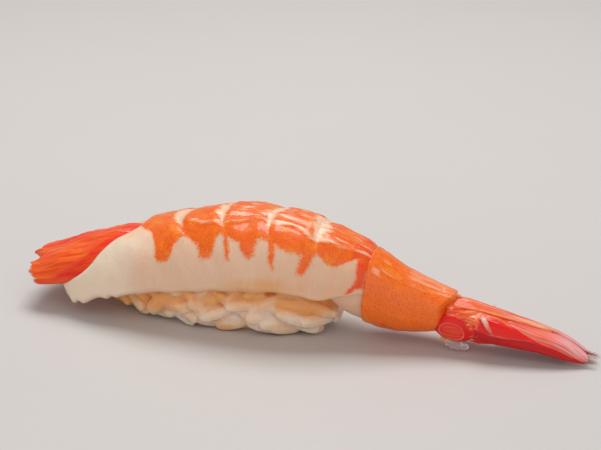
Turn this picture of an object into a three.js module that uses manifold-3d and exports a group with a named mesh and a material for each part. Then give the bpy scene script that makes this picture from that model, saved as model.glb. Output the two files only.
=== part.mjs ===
// A boiled shrimp laid over a small pressed bed of rice.
//
// The shrimp is opened along its belly, so its flesh is an arched slab that sits over the rice
// like a saddle. At the neck a thin red flap reaches forward between two white lobes of flesh. At
// the other end the last segment keeps its shell, and the closed tail fan slopes down to the
// table: a pointed spine in the middle, and on each side a root plate with an inner and an outer
// blade.
//
// Millimetres. X runs from the neck to the tail, Z is up, and the origin is the middle of the
// rice's flat base. The near side, with negative Y, is the one that a guest sees first.

import * as THREE from "three";
import { LoftGeometry } from "three/addons/geometries/LoftGeometry.js";
import { mergeVertices } from "three/addons/utils/BufferGeometryUtils.js";
import Module from "manifold-3d";

const wasm = await Module();
wasm.setup();

// ---------------------------------------------------------------- driving dimensions

const GAP = 0.3; // left between neighbouring pieces

// The flesh. Each curve is a list of [x, size] along the body.
const FLESH_END_X = 28.5; // where the shell of the last segment starts
const RIDGE_TOP = [
  [-31, 12.4], [-18, 16.7], [-8, 19.9], [1, 22.1], [9, 22.6], [18, 21.5], [25, 19.1], [28.5, 17.6],
];
const LIP_BOTTOM = [
  [-31, 4.4], [-27, 2.5], [-23.5, 3.4], [-19, 5], [-9, 7.3], [3, 9.2], [15, 10.1], [22, 9.2], [28.5, 10.4],
];
const ARCH_HALF_WIDTH = [
  [-31, 8.6], [-26, 10.8], [-12, 11.6], [6, 11.8], [16, 11], [23, 8.9], [28.5, 7],
];
const BELLY_TOP = [
  [-31, 8.6], [-18, 12.1], [-8, 15], [3, 17], [12, 16.2], [18, 13.2], [22, 8.8], [25, 5], [28.5, 3.4],
];
const LIP_THICKNESS = [[-31, 2.6], [-20, 3], [12, 2.8], [22, 2], [28.5, 0.5]];

// Front edge of the white lobes, as [turn, x], where the turn goes from 0 on the ridge to 1 at a
// lip: a notch on the ridge, and a rounded corner at each lip.
const LOBE_EDGE = [
  [0, -17.3], [0.15, -17.9], [0.32, -21.4], [0.45, -23.2], [0.62, -24.9], [0.76, -28], [0.92, -30.2],
  [1, -29.6],
];
const FAR_LOBE_WAVE = { height: 0.7, rate: 9 }; // the far edge wavers a little from the near one
const FRONT_ROUNDING = 2.4; // length over which the lobes thin to their front edge

// How finely the flesh is drawn: points across it, rows of points along the front of the lobes,
// and the shares of each segment at which a row crosses the ridge. The coarse one is used only
// where room is made in the rice.
const FRONT_ROWS_END_X = -14;
const FINE = { across: 16, frontRows: 12, shares: [0, 0.1, 0.24, 0.5, 0.76, 0.9] };
const COARSE = { across: 12, frontRows: 8, shares: [0, 0.25, 0.5, 0.75] };

// The joints between the segments of the back: the place of each on the ridge, and how much
// further back it would lie at the lips. They fade out down the sides.
const JOINTS = [
  { x: -8.1, lean: 20 },
  { x: 0.6, lean: 16 },
  { x: 10.4, lean: 7 },
  { x: 19.9, lean: 2.5 },
];
const JOINT_FADE = { from: 0.2, to: 0.62 }; // turns
const JOINT_DEPTH = 0.4;
const JOINT_HALF_WIDTH = 1;
const FRONT_LEAN = 12; // of the rows of points where those of the lobes' front end

// A low ridge on each side of the back, by its turn along x.
const BACK_LINE = [
  [-9, 0.2], [-5, 0.25], [2, 0.31], [9, 0.23], [12, 0.24], [17, 0.26], [20, 0.33], [26, 0.29],
];
const BACK_LINE_HALF_WIDTH = 0.1;
const BACK_LINE_HEIGHT = 0.25;

// The red flap at the neck.
const FLAP_TIP_X = -40;
const FLAP_ROOT_X = -14;
const FLAP_TOP = [[-40, 8.7], [-37.5, 9.2], [-32.7, 11.2], [-28.4, 12.9], [-22, 15.1], [-14, 16.6]];
const FLAP_BOTTOM = [[-40, 4.3], [-36, 4.6], [-30, 5.6], [-22, 7.4], [-14, 9.6]];
const FLAP_HALF_WIDTH = [[-40, 7.6], [-36, 9], [-28, 9.4], [-14, 9.2]];
const FLAP_THICKNESS = [[-40, 1.4], [-35, 1.9], [-30, 2.2], [-14, 2.2]];
const FLAP_ROUNDING = 1.8; // length over which it thins to its front edge
const FLAP_SWEEP = 3.2; // how far its two front corners stand back from the tip
const FLAP_TEAR = { turn: -0.3, halfWidth: 0.14, depth: 2.2 }; // tear in the front edge
const FLAP_RAGGED = { height: 0.35, rate: 19 }; // wavering of the front edge
const FLAP_POINTS = { rows: 12, across: 14 };

// The last segment, in its shell.
const SEGMENT_START_X = FLESH_END_X + GAP;
const SEGMENT_END_X = 46.2;
const SEGMENT_TOP = [[28.5, 17.7], [34.3, 14.5], [40, 12.1], [46.2, 10.3]];
const SEGMENT_BOTTOM = [[28.5, 3.3], [33, 2.2], [38, 2.1], [42, 2.8], [46.2, 3.6]];
const SEGMENT_HALF_WIDTH = [[28.5, 7.1], [36, 6.2], [41, 5.1], [46.2, 4.3]];
const SEGMENT_SLANT = { reach: 2.5, from: 10, to: 75 }; // rear edge, by degrees from the top
const SEGMENT_CLOSING = 0.07; // share of its length over which its rear end closes
const SEGMENT_POLE = { x: 44.9, z: 7 }; // the point at which it closes
const SEGMENT_POINTS = { rings: 18, around: 24 };
const KEEL = { height: 0.4, sharpness: 20 };
const SHELL_RIM = { height: 0.3, share: 0.05 }; // how far its front edge stands off the flesh

// The closed tail fan lies on a flattened cone, which these curves give.
const FAN_AXIS_Z = [[44, 6.3], [50, 5.35], [56, 4.4], [62, 3.2], [67, 1.9], [70.3, 1]];
const FAN_HALF_WIDTH = [[44, 4], [48, 4.8], [54, 4.9], [60, 4.4], [66, 3.4], [70.3, 2.1]];
const FAN_HALF_HEIGHT = [[44, 3.6], [48, 3.75], [54, 3.45], [60, 3.2], [66, 2.8], [70.3, 1.2]];
const BLADE_THICKNESS = 0.75;
const BLADE_THINNING = 0.7; // share of the thickness that shrinks with the cone
const BLADE_ROUNDING = { root: 0.04, tip: 0.08 }; // shares of its length
const BLADE_RIB = { height: 0.22, halfWidth: 0.3 };
const BLADE_POINTS = { rings: 14, around: 12 };

// Each blade: the angle from the top of its upper and lower edges along x, and its depth under
// the cone.
const SPINE = {
  upper: [[46.6, -34], [51, -24], [56, -16], [61, -10.5], [64.5, 0]],
  lower: [[46.6, 34], [51, 24], [56, 16], [61, 10.5], [64.5, 0]],
  depth: [[46.6, 0], [64.5, 0]],
};
const INNER_BLADE = {
  upper: [[49.4, 5], [60, 5], [66, 5], [69, 9], [70.3, 30]],
  lower: [[49.4, 62], [56, 66], [62, 86], [66, 99], [69, 104], [70.3, 80]],
  depth: [[49.4, 1.1], [60, 1.05], [66, 0.95], [69, 0.7], [70.3, 0.4]],
};
const OUTER_BLADE = {
  upper: [
    [49.4, 33], [53, 25.5], [55.8, 21.5], [57.5, 31], [59.6, 50], [61.5, 64], [65, 72], [68.4, 92],
    [69.6, 99],
  ],
  lower: [[49.4, 106], [53.3, 111], [57, 107], [62, 102], [66.9, 108], [69.6, 107]],
  depth: [[49.4, 0], [69.6, 0]],
};
const ROOT_PLATE = { size: [8, 3.9, 5.2], at: [45.8, 2.75, 5.1], pitch: 12, end: 49.1, points: [14, 8] };

// The shred of clear membrane under the tail's root.
const SHRED = {
  length: 5.4,
  depth: 2,
  thickness: 0.4,
  wave: { height: 0.35, rate: 7 },
  droop: { height: 0.25, rate: 5 },
  taper: 0.6,
  at: [45.9, -2.4, 1.35],
  pitch: 20,
};

// The rice.
const RICE_MIDDLE_X = 0.5;
const RICE_HALF_LENGTH = 22.3;
const RICE_HALF_WIDTH = 8.6;
const RICE_WAIST_Z = 6; // the widest level
const RICE_TUCK = 8.5; // depth below the waist at which its sides would meet, under the table
const RICE_TOP_Z = 17.5;
const RICE_SQUARENESS = 2.5; // 2 gives an oval plan
const RICE_POINTS = { rings: 12, around: 28 };
const CORE_SHARE = 0.94; // size of the pressed core beside the whole bed
const GRAIN = { length: 6.2, width: 2.9, depth: 2.5 };
const GRAIN_POINTS = [5, 4];
const GRAIN_SPACING = 5;
const GRAIN_ROWS_Z = [1.3, 3.9, 6.6, 9.2];
const COVERED_Z = 8; // above this level the rice shows only at its two ends
const RICE_END_SHARE = 0.6; // share of its half length from which an end begins

// How unlike the grains are: how far each is shifted along its row as a share of its room, its
// lean out of the level and its turn outward in radians, its rise, how far it is pushed in or out,
// and its size.
const GRAIN_RANGE = { along: 0.5, lean: 2.6, outward: 0.7, rise: 1.2, push: 1.1, size: 0.24 };
const GRAIN_INSET = 0.1; // how far in the grains lie on the whole

// ---------------------------------------------------------------- helpers

const { clamp, degToRad, lerp, radToDeg, smoothstep } = THREE.MathUtils;

// A smooth curve through a few [x, value] points, with each point's slope taken from its neighbours.
function valueAt(points, x) {
  const slopes = points.map((_, i) => {
    const [x0, y0] = points[Math.max(i - 1, 0)];
    const [x1, y1] = points[Math.min(i + 1, points.length - 1)];
    return (y1 - y0) / (x1 - x0);
  });
  const next = points.findIndex(([px]) => px > x);
  const i = next < 0 ? points.length - 2 : Math.max(next - 1, 0);
  const [[x0, y0], [x1, y1]] = [points[i], points[i + 1]];
  const t = clamp((x - x0) / (x1 - x0), 0, 1);
  const bend = (x1 - x0) * t * (1 - t) * (slopes[i] * (1 - t) - slopes[i + 1] * t);
  return y0 + (y1 - y0) * t * t * (3 - 2 * t) + bend;
}

function bump(value, middle, halfWidth) {
  return Math.exp(-(((value - middle) / halfWidth) ** 2));
}

// The outline of a round edge: 0 at the edge itself, and 1 from one radius inward.
function roundEdge(distance, radius) {
  return Math.sqrt(1 - (1 - clamp(distance / radius, 0, 1)) ** 2);
}

// A repeatable number from 0 to 1 for each whole number and each use.
function chance(number, use) {
  const wave = Math.sin(number * 12.9898 + use * 78.233) * 43758.5453;
  return wave - Math.floor(wave);
}

// Shares from 0 to 1 in equal steps, or crowded towards 0 if the power is above 1.
function steps(count, power = 1) {
  return Array.from({ length: count + 1 }, (_, i) => (i / count) ** power);
}

// The angles of a closed ring of points.
function ringAngles(count) {
  return Array.from({ length: count }, (_, i) => (2 * Math.PI * i) / count);
}

// A closed geometry as a solid that can be joined and cut. Where rows of a loft end in a point or
// a sharp edge, the triangles that shrink to nothing are dropped.
function solidOf(geometry) {
  const bare = new THREE.BufferGeometry().setIndex(geometry.index);
  bare.setAttribute("position", geometry.attributes.position);
  const merged = mergeVertices(bare, 1e-3);
  const triangles = [];
  for (let i = 0; i < merged.index.count; i += 3) {
    const [a, b, c] = merged.index.array.slice(i, i + 3);
    if (a !== b && b !== c && c !== a) triangles.push(a, b, c);
  }
  return new wasm.Manifold(
    new wasm.Mesh({
      numProp: 3,
      vertProperties: merged.attributes.position.array,
      triVerts: new Uint32Array(triangles),
    }),
  );
}

function geometryOf(solid) {
  const { vertProperties, triVerts } = solid.getMesh();
  const geometry = new THREE.BufferGeometry();
  geometry.setAttribute("position", new THREE.BufferAttribute(vertProperties, 3));
  geometry.setIndex(new THREE.BufferAttribute(triVerts, 1));
  geometry.computeVertexNormals();
  return geometry;
}

function largestBody(solid) {
  return solid.decompose().reduce((a, b) => (b.volume() > a.volume() ? b : a));
}

function onSide(solid, side) {
  return side < 0 ? solid.mirror([0, 1, 0]) : solid;
}

// ---------------------------------------------------------------- flesh and flap

// A ring of points round an arched slab. It runs over the outside from the far lip to the near
// one, round that lip, back underneath, and round the far lip. placeAt gives the place for a turn
// (-1 at the near lip, 1 at the far lip) and a depth (0 outside, 1 underneath).
function slabRing(across, placeAt) {
  const turns = steps(across).map((share) => 1 - 2 * share);
  const outside = turns.map((turn) => placeAt(turn, 0));
  const underside = turns.map((turn) => placeAt(-turn, 1));
  return [...outside, placeAt(-1, 0.5), ...underside, placeAt(1, 0.5)];
}

// A place in an arched slab. Its outside and underside are half ovals that share one level at
// the lips. The underside may lie below the lips, which closes the arch.
function archPlace(turn, depth, { x, top, underside, lip, halfWidth, lipThickness, thinning, relief }) {
  const angle = (turn * Math.PI) / 2;
  const round = lipThickness / 2;
  const level = lip + round;
  const outside = new THREE.Vector3(
    x,
    (halfWidth + relief) * Math.sin(angle),
    level + (top - level + relief) * Math.cos(angle),
  );
  const under = new THREE.Vector3(
    x,
    (halfWidth - lipThickness) * Math.sin(angle),
    level + (underside - level) * Math.cos(angle),
  );
  const place = outside.lerp(under, 0.5 + (depth - 0.5) * thinning);
  if (depth === 0.5) place.z -= round * thinning; // the lip's rounded edge
  return place;
}

// Height of the back's relief: a groove at each joint, and the low ridge on each side.
function backRelief(x, turn) {
  const side = Math.abs(turn);
  const grooves = JOINTS.map((joint) => bump(x, joint.x + joint.lean * side ** 2, JOINT_HALF_WIDTH));
  const groove = Math.max(...grooves) * (1 - smoothstep(side, JOINT_FADE.from, JOINT_FADE.to));
  const line = bump(side, valueAt(BACK_LINE, x), BACK_LINE_HALF_WIDTH);
  return BACK_LINE_HEIGHT * line * (1 - groove) - JOINT_DEPTH * groove;
}

function lobeFrontX(turn) {
  const side = Math.abs(turn);
  const wave = turn > 0 ? FAR_LOBE_WAVE.height * Math.sin(FAR_LOBE_WAVE.rate * side) : 0;
  return valueAt(LOBE_EDGE, side) + wave;
}

// The places on the ridge where rows of points cross it, at the same shares of each segment.
function ridgeStations(shares) {
  const ends = [FRONT_ROWS_END_X, ...JOINTS.map((joint) => joint.x), FLESH_END_X];
  const stations = ends.slice(1).flatMap((end, i) => shares.map((share) => lerp(ends[i], end, share)));
  return [...stations.slice(1), FLESH_END_X];
}

// How far a row of points that crosses the ridge at x lies further back at a turn, so that rows
// follow the joints.
function leanAt(x, turn) {
  const leans = JOINTS.map((joint) => [joint.x, joint.lean]);
  const lean = valueAt([[FRONT_ROWS_END_X, FRONT_LEAN], ...leans, [FLESH_END_X, 0]], x);
  return lean * Math.min(Math.abs(turn), JOINT_FADE.to) ** 2;
}

// The flesh, with a margin added all over where room is made for it in the rice. Its first rows
// follow the front edge, and the others lean as the joints do.
function flesh(margin, { across, frontRows, shares }) {
  const placeAt = (x, turn, depth) =>
    archPlace(turn, depth, {
      x,
      top: valueAt(RIDGE_TOP, x) + margin,
      underside: valueAt(BELLY_TOP, x) - margin,
      lip: valueAt(LIP_BOTTOM, x) - margin,
      halfWidth: valueAt(ARCH_HALF_WIDTH, x) + margin,
      lipThickness: valueAt(LIP_THICKNESS, x) + 2 * margin,
      thinning: roundEdge(x - lobeFrontX(turn) + margin, FRONT_ROUNDING),
      relief: backRelief(x, turn),
    });
  const front = steps(frontRows, 1.4).map((along) =>
    slabRing(across, (turn, depth) => {
      const last = FRONT_ROWS_END_X + leanAt(FRONT_ROWS_END_X, turn);
      return placeAt(lerp(lobeFrontX(turn) - margin, last, along), turn, depth);
    }),
  );
  const body = ridgeStations(shares).map((x) => {
    const end = x === FLESH_END_X ? margin : 0;
    return slabRing(across, (turn, depth) => placeAt(x + leanAt(x, turn) + end, turn, depth));
  });
  return solidOf(new LoftGeometry([...front, ...body], { capEnd: true }));
}

// Front edge of the flap: swept back at its corners, with one tear and a ragged line.
function flapFrontX(turn) {
  const tear = FLAP_TEAR.depth * bump(turn, FLAP_TEAR.turn, FLAP_TEAR.halfWidth);
  const ragged = FLAP_RAGGED.height * Math.sin(FLAP_RAGGED.rate * turn);
  return FLAP_TIP_X + FLAP_SWEEP * turn * turn + tear + ragged;
}

// The flap is a thinner arched slab whose root lies inside the flesh.
function neckFlap(margin) {
  const rows = steps(FLAP_POINTS.rows, 1.5).map((along) =>
    slabRing(FLAP_POINTS.across, (turn, depth) => {
      const front = flapFrontX(turn) - margin;
      const x = lerp(front, FLAP_ROOT_X, along);
      const top = valueAt(FLAP_TOP, x);
      const thickness = valueAt(FLAP_THICKNESS, x);
      return archPlace(turn, depth, {
        x,
        top: top + margin,
        underside: top - thickness - margin,
        lip: valueAt(FLAP_BOTTOM, x) - margin,
        halfWidth: valueAt(FLAP_HALF_WIDTH, x) + margin,
        lipThickness: thickness + 2 * margin,
        thinning: roundEdge(x - front, FLAP_ROUNDING),
        relief: 0,
      });
    }),
  );
  return solidOf(new LoftGeometry(rows, { capEnd: true }));
}

// ---------------------------------------------------------------- last segment and tail

// An oval tube that narrows to a slanting rear edge and closes there. Its rings of points crowd
// at both ends, and their angles go from the top.
function tailSegment(margin) {
  const ring = (share) => {
    const along = (1 - Math.cos(Math.PI * share)) / 2;
    const closing = roundEdge(1 - along, SEGMENT_CLOSING);
    const rim = SHELL_RIM.height * bump(along, 0, SHELL_RIM.share) + margin;
    return ringAngles(SEGMENT_POINTS.around).map((angle) => {
      const tilt = radToDeg(Math.min(angle, 2 * Math.PI - angle));
      const slant = SEGMENT_SLANT.reach * smoothstep(tilt, SEGMENT_SLANT.from, SEGMENT_SLANT.to);
      const x = lerp(SEGMENT_START_X - margin, SEGMENT_END_X + margin - slant, along);
      const [top, bottom] = [valueAt(SEGMENT_TOP, x), valueAt(SEGMENT_BOTTOM, x)];
      const keel = KEEL.height * Math.max(0, Math.cos(angle)) ** KEEL.sharpness * Math.sin(Math.PI * along);
      const halfHeight = (top - bottom) / 2 + rim + keel;
      return new THREE.Vector3(
        lerp(SEGMENT_POLE.x + margin, x, closing),
        -(valueAt(SEGMENT_HALF_WIDTH, x) + rim) * closing * Math.sin(angle),
        lerp(SEGMENT_POLE.z, (top + bottom) / 2, closing) + halfHeight * closing * Math.cos(angle),
      );
    });
  };
  return solidOf(new LoftGeometry(steps(SEGMENT_POINTS.rings).map(ring), { capStart: true }));
}

// A blade on the far side of the fan. It curves round the cone and thins towards its tip.
function blade({ upper, lower, depth }) {
  const [start, end] = [upper[0][0], upper.at(-1)[0]];
  const ring = (along) => {
    const x = lerp(start, end, along);
    const [wide, high] = [valueAt(FAN_HALF_WIDTH, x), valueAt(FAN_HALF_HEIGHT, x)];
    const size = 1 - BLADE_THINNING * (1 - high / valueAt(FAN_HALF_HEIGHT, start));
    const closing = Math.sqrt(Math.min(1, (1 - along) / BLADE_ROUNDING.tip, along / BLADE_ROUNDING.root));
    const half = (BLADE_THICKNESS / 2) * size * closing;
    const [from, to] = [valueAt(upper, x), valueAt(lower, x)];
    return ringAngles(BLADE_POINTS.around).map((round) => {
      const across = Math.cos(round); // 1 at the lower edge, -1 at the upper edge
      const outward = Math.sin(round);
      const angle = degToRad(lerp(from, to, (across + 1) / 2));
      const ribHeight = outward > 0 ? BLADE_RIB.height * size * closing : 0;
      const rib = ribHeight * bump(across, 0, BLADE_RIB.halfWidth);
      const lift = half * Math.sign(outward) * Math.sqrt(Math.abs(outward)) + rib - half - valueAt(depth, x);
      const y = (wide + lift) * Math.sin(angle);
      return new THREE.Vector3(x, y, valueAt(FAN_AXIS_Z, x) + (high + lift) * Math.cos(angle));
    });
  };
  return solidOf(new LoftGeometry(steps(BLADE_POINTS.rings).map(ring)));
}

// The plate at the root of the blades, on the far side.
function rootPlate() {
  const plate = new THREE.SphereGeometry(0.5, ...ROOT_PLATE.points).rotateZ(Math.PI / 2);
  plate.scale(...ROOT_PLATE.size).rotateY(degToRad(ROOT_PLATE.pitch)).translate(...ROOT_PLATE.at);
  const beyond = new THREE.BoxGeometry(20, 20, 20).translate(ROOT_PLATE.end + 10, 0, 0);
  return solidOf(plate).subtract(tailSegment(GAP)).subtract(solidOf(beyond));
}

function membraneShred() {
  const { length, depth, thickness, wave, droop, taper, at, pitch } = SHRED;
  const sheet = new THREE.BoxGeometry(length, thickness, depth, 8, 1, 3);
  const place = sheet.attributes.position;
  for (let i = 0; i < place.count; i += 1) {
    const along = place.getX(i) / length + 0.5;
    const narrowed = place.getZ(i) * (1 - taper * along * along);
    place.setY(i, place.getY(i) + wave.height * Math.sin(along * wave.rate));
    place.setZ(i, narrowed - droop.height * Math.sin(along * droop.rate));
  }
  const shred = solidOf(sheet.rotateY(degToRad(pitch)).translate(...at));
  return shred.subtract(tailSegment(GAP));
}

// ---------------------------------------------------------------- rice

// The size of the bed's outline at a height, beside its widest outline.
function bedShare(height) {
  const reach = height < RICE_WAIST_Z ? RICE_TUCK : RICE_TOP_Z - RICE_WAIST_Z;
  return Math.sqrt(Math.max(0, 1 - ((height - RICE_WAIST_Z) / reach) ** 2));
}

function bedPlace(angle, share) {
  const rounded = (value) => Math.sign(value) * Math.abs(value) ** (2 / RICE_SQUARENESS);
  return new THREE.Vector2(
    RICE_MIDDLE_X + RICE_HALF_LENGTH * share * rounded(Math.cos(angle)),
    RICE_HALF_WIDTH * share * rounded(Math.sin(angle)),
  );
}

// The pressed middle of the bed: a stack of outlines from below the table to the top.
function riceCore() {
  const ring = (share) => {
    const level = -Math.cos(Math.PI * share); // -1 at the lowest outline, 1 at the top
    const height = RICE_WAIST_Z + level * (level < 0 ? RICE_TUCK : RICE_TOP_Z - RICE_WAIST_Z);
    return ringAngles(RICE_POINTS.around).map((angle) => {
      const place = bedPlace(angle, bedShare(height) * CORE_SHARE);
      return new THREE.Vector3(place.x, place.y, height);
    });
  };
  return solidOf(new LoftGeometry(steps(RICE_POINTS.rings).map(ring)));
}

// A plump oval grain with its broad face turned outward.
function grain(middle, direction, facing, size) {
  const shape = new THREE.SphereGeometry(0.5, ...GRAIN_POINTS).rotateZ(Math.PI / 2);
  shape.scale(GRAIN.length * size, GRAIN.depth * size, GRAIN.width * size);
  const side = new THREE.Vector3().crossVectors(direction, facing).normalize();
  const outward = new THREE.Vector3().crossVectors(side, direction).normalize();
  shape.applyMatrix4(new THREE.Matrix4().makeBasis(direction, outward, side));
  return solidOf(shape.translate(middle.x, middle.y, middle.z));
}

// One row of grains round the bed, evenly spaced along its outline and lying every way.
function grainRow(height, row) {
  const outline = steps(240).map((share) => bedPlace(2 * Math.PI * share, bedShare(height)));
  const reached = [0];
  outline.slice(1).forEach((place, i) => reached.push(reached[i] + place.distanceTo(outline[i])));
  const whole = reached.at(-1);
  const count = Math.round(whole / GRAIN_SPACING);
  const grains = [];
  for (let n = 0; n < count; n += 1) {
    const id = row * 100 + n;
    const about = (use, range) => (chance(id, use) - 0.5) * range;
    const distance = ((n + 0.5 * (row % 2) + GRAIN_RANGE.along * chance(id, 1)) / count) * whole;
    const i = Math.max(1, reached.findIndex((length) => length >= distance));
    const way = outline[i].clone().sub(outline[i - 1]).normalize();
    const facing = new THREE.Vector3(way.y, -way.x, 0);
    const lean = about(2, GRAIN_RANGE.lean);
    const direction = new THREE.Vector3(way.x * Math.cos(lean), way.y * Math.cos(lean), Math.sin(lean));
    direction.addScaledVector(facing, about(3, GRAIN_RANGE.outward)).normalize();
    const middle = new THREE.Vector3(outline[i].x, outline[i].y, height + about(4, GRAIN_RANGE.rise));
    middle.addScaledVector(facing, about(5, GRAIN_RANGE.push) - GRAIN_INSET);
    const atEnd = Math.abs(middle.x - RICE_MIDDLE_X) > RICE_END_SHARE * RICE_HALF_LENGTH;
    if (height < COVERED_Z || atEnd) {
      grains.push(grain(middle, direction, facing, 1 + about(6, GRAIN_RANGE.size)));
    }
  }
  return grains;
}

function rice() {
  const rows = GRAIN_ROWS_Z.flatMap((height, row) => grainRow(height, row));
  const heap = wasm.Manifold.union([riceCore(), ...rows]);
  const table = solidOf(new THREE.BoxGeometry(120, 60, 20).translate(0, 0, -10));
  return largestBody(heap.subtract(table).subtract(flesh(1.2 * GAP, COARSE)).subtract(neckFlap(GAP)));
}

// ---------------------------------------------------------------- the object

const MATERIALS = {
  rice: { color: 0xe9d9c2, roughness: 0.38, metalness: 0 },
  flesh: { color: 0xf0b896, roughness: 0.34, metalness: 0 },
  shell: { color: 0xe8692a, roughness: 0.28, metalness: 0 },
  tail: { color: 0xd93a2b, roughness: 0.22, metalness: 0 },
  membrane: { color: 0xe6d6c8, roughness: 0.2, metalness: 0 },
};

function piece(name, solid, material) {
  const mesh = new THREE.Mesh(geometryOf(solid), new THREE.MeshStandardMaterial(MATERIALS[material]));
  mesh.name = name;
  return mesh;
}

const shrimp = new THREE.Group();
shrimp.add(piece("rice_bed", rice(), "rice"));
shrimp.add(piece("shrimp_flesh", flesh(0, FINE).add(neckFlap(0)), "flesh"));
shrimp.add(piece("tail_segment", tailSegment(0), "shell"));
shrimp.add(piece("tail_spine", blade(SPINE), "tail"));
for (const [side, label] of [[-1, "near"], [1, "far"]]) {
  shrimp.add(piece(`tail_root_${label}`, onSide(rootPlate(), side), "tail"));
  shrimp.add(piece(`inner_blade_${label}`, onSide(blade(INNER_BLADE), side), "tail"));
  shrimp.add(piece(`outer_blade_${label}`, onSide(blade(OUTER_BLADE), side), "tail"));
}
shrimp.add(piece("membrane_shred", membraneShred(), "membrane"));

export default shrimp;
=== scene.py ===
"""A boiled shrimp laid over a small bed of pressed rice.

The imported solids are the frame. This script lays the finished surfaces over them, with the same
shapes on finer grids, and adds the floor, the light and the camera. The tables of sizes are in
millimetres: X runs from the neck to the tail, Z is up, and the near side has negative Y.
"""

import bmesh
import bpy
import numpy as np
from mathutils import Matrix, Vector
from mathutils.kdtree import KDTree


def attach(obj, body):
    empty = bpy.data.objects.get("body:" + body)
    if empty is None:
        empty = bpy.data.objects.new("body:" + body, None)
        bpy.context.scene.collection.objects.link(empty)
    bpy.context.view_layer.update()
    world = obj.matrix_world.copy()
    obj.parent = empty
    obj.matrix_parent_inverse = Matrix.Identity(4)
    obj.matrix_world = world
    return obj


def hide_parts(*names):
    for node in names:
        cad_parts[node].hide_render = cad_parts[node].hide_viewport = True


bl_info = {
    "name": "Boiled shrimp over rice",
    "version": (1, 0, 0),
    "blender": (4, 5, 0),
    "location": "3D View > Sidebar > Shrimp",
    "description": "Builds a boiled shrimp on a bed of rice, with its floor, light and camera",
    "category": "Add Mesh",
}

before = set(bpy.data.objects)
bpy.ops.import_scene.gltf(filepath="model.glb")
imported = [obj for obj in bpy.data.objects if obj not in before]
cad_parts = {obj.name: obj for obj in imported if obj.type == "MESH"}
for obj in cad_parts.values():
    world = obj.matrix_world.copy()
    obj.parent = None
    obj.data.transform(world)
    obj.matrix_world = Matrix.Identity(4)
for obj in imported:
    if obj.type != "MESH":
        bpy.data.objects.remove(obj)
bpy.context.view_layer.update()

MM = 0.001  # metres
BODY = "root"

# ---------------------------------------------------------------- sizes, in millimetres

# The flesh. Each curve is a list of [x, size] along the body.
# Front edge of the white lobes, as [turn from the ridge, x]: a notch on the ridge, and a rounded
# corner at each lip.
LOBE_EDGE = [
    [0, -17.3], [0.15, -17.9], [0.32, -21.4], [0.45, -23.2], [0.62, -24.9], [0.76, -28], [0.92, -30.2],
    [1, -29.6],
]
FLESH_END_X = 30.6  # it ends inside the shell of the last segment
RIDGE_TOP = [
    [-31, 12.4], [-18, 16.7], [-8, 19.9], [1, 22.1], [9, 22.6], [18, 21.5], [25, 19.1], [28.5, 17.6],
    [30.6, 16.4],
]
LIP_BOTTOM = [
    [-31, 4.4], [-27, 2.5], [-23.5, 3.4], [-19, 5], [-9, 7.3], [3, 9.2], [15, 10.1], [22, 9.2],
    [28.5, 10.4], [30.6, 10.3],
]
ARCH_HALF_WIDTH = [
    [-31, 8.6], [-26, 10.8], [-12, 11.6], [6, 11.8], [16, 11], [23, 8.9], [28.5, 7], [30.6, 6.6],
]
BELLY_TOP = [
    [-31, 8.6], [-18, 12.1], [-8, 15], [3, 17], [12, 16.2], [18, 13.2], [22, 8.8], [25, 5], [28.5, 3.4],
    [30.6, 2.9],
]
LIP_THICKNESS = [[-31, 2.6], [-20, 3], [12, 2.8], [22, 2], [28.5, 0.5], [30.6, 0.5]]
FRONT_ROUNDING = 2.4  # length over which the lobes thin to their front edge
SIDE_LENGTH = 18.4  # from the ridge down to a lip, over the outside

# The joints between the segments: the place on the ridge, how far each leans back down the sides,
# half the width of its pale gap on the ridge, and how far down the side the gap narrows.
JOINTS = [
    {"x": -8.1, "lean": 20, "gap": 1.35, "reach": 0.42},
    {"x": 0.6, "lean": 16, "gap": 0.9, "reach": 0.5},
    {"x": 10.4, "lean": 7, "gap": 0.8, "reach": 0.55},
    {"x": 19.9, "lean": 2.5, "gap": 1.25, "reach": 0.6},
]
JOINT_DEPTH = 0.32
JOINT_HALF_WIDTH = 1.0
# The low ridge on each side of the back, by its turn from the top along x.
BACK_LINE = [
    [-9, 0.2], [-5, 0.25], [2, 0.31], [9, 0.23], [12, 0.24], [17, 0.26], [20, 0.33], [26, 0.29],
]
BACK_LINE_HEIGHT = 0.2
# How strongly a highlight is painted along that ridge, down the body.
BACK_PAINTED_SHINE = [
    [-9, 0], [-4, 0.75], [1, 0.6], [5, 0.4], [9, 0.7], [13, 1], [18, 0.9], [22, 1], [28, 0.5],
]

# How far down the sides the orange reaches along the body, as a share of the side.
REACH = [
    [-17.4, -0.02], [-15.6, 0.17], [-12.4, 0.33], [-10.4, 0.5], [-6.2, 0.53], [-5, 0.45], [-1.7, 0.56],
    [2.6, 0.47], [6.4, 0.55], [11.4, 0.49], [16, 0.59], [19.2, 0.56], [20.4, 0.5], [23.6, 0.63],
    [26.6, 0.5], [28.8, 0.34], [30.6, 0.34],
]
# The tongues that hang from it: each one's centre at its root and at its tip, as [x, share of the
# side], and its half width at the two.
TONGUES = [
    {"root": [-8.5, 0.45], "tip": [-8.0, 0.74], "half_widths": [2.6, 1.2]},
    {"root": [0.0, 0.5], "tip": [0.45, 0.735], "half_widths": [2.0, 1.1]},
    {"root": [3.4, 0.42], "tip": [5.2, 0.76], "half_widths": [0.75, 0.3]},
    {"root": [8.0, 0.5], "tip": [8.9, 0.705], "half_widths": [2.0, 0.85]},
    {"root": [12.2, 0.4], "tip": [13.6, 0.81], "half_widths": [0.95, 0.35]},
    {"root": [19.9, 0.5], "tip": [18.3, 0.83], "half_widths": [1.2, 0.75]},
    {"root": [29.2, 0.3], "tip": [28.9, 0.92], "half_widths": [1.4, 0.8]},
    {"root": [28.9, 0.8], "tip": [26.4, 1.02], "half_widths": [0.8, 0.6]},
]

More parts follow.
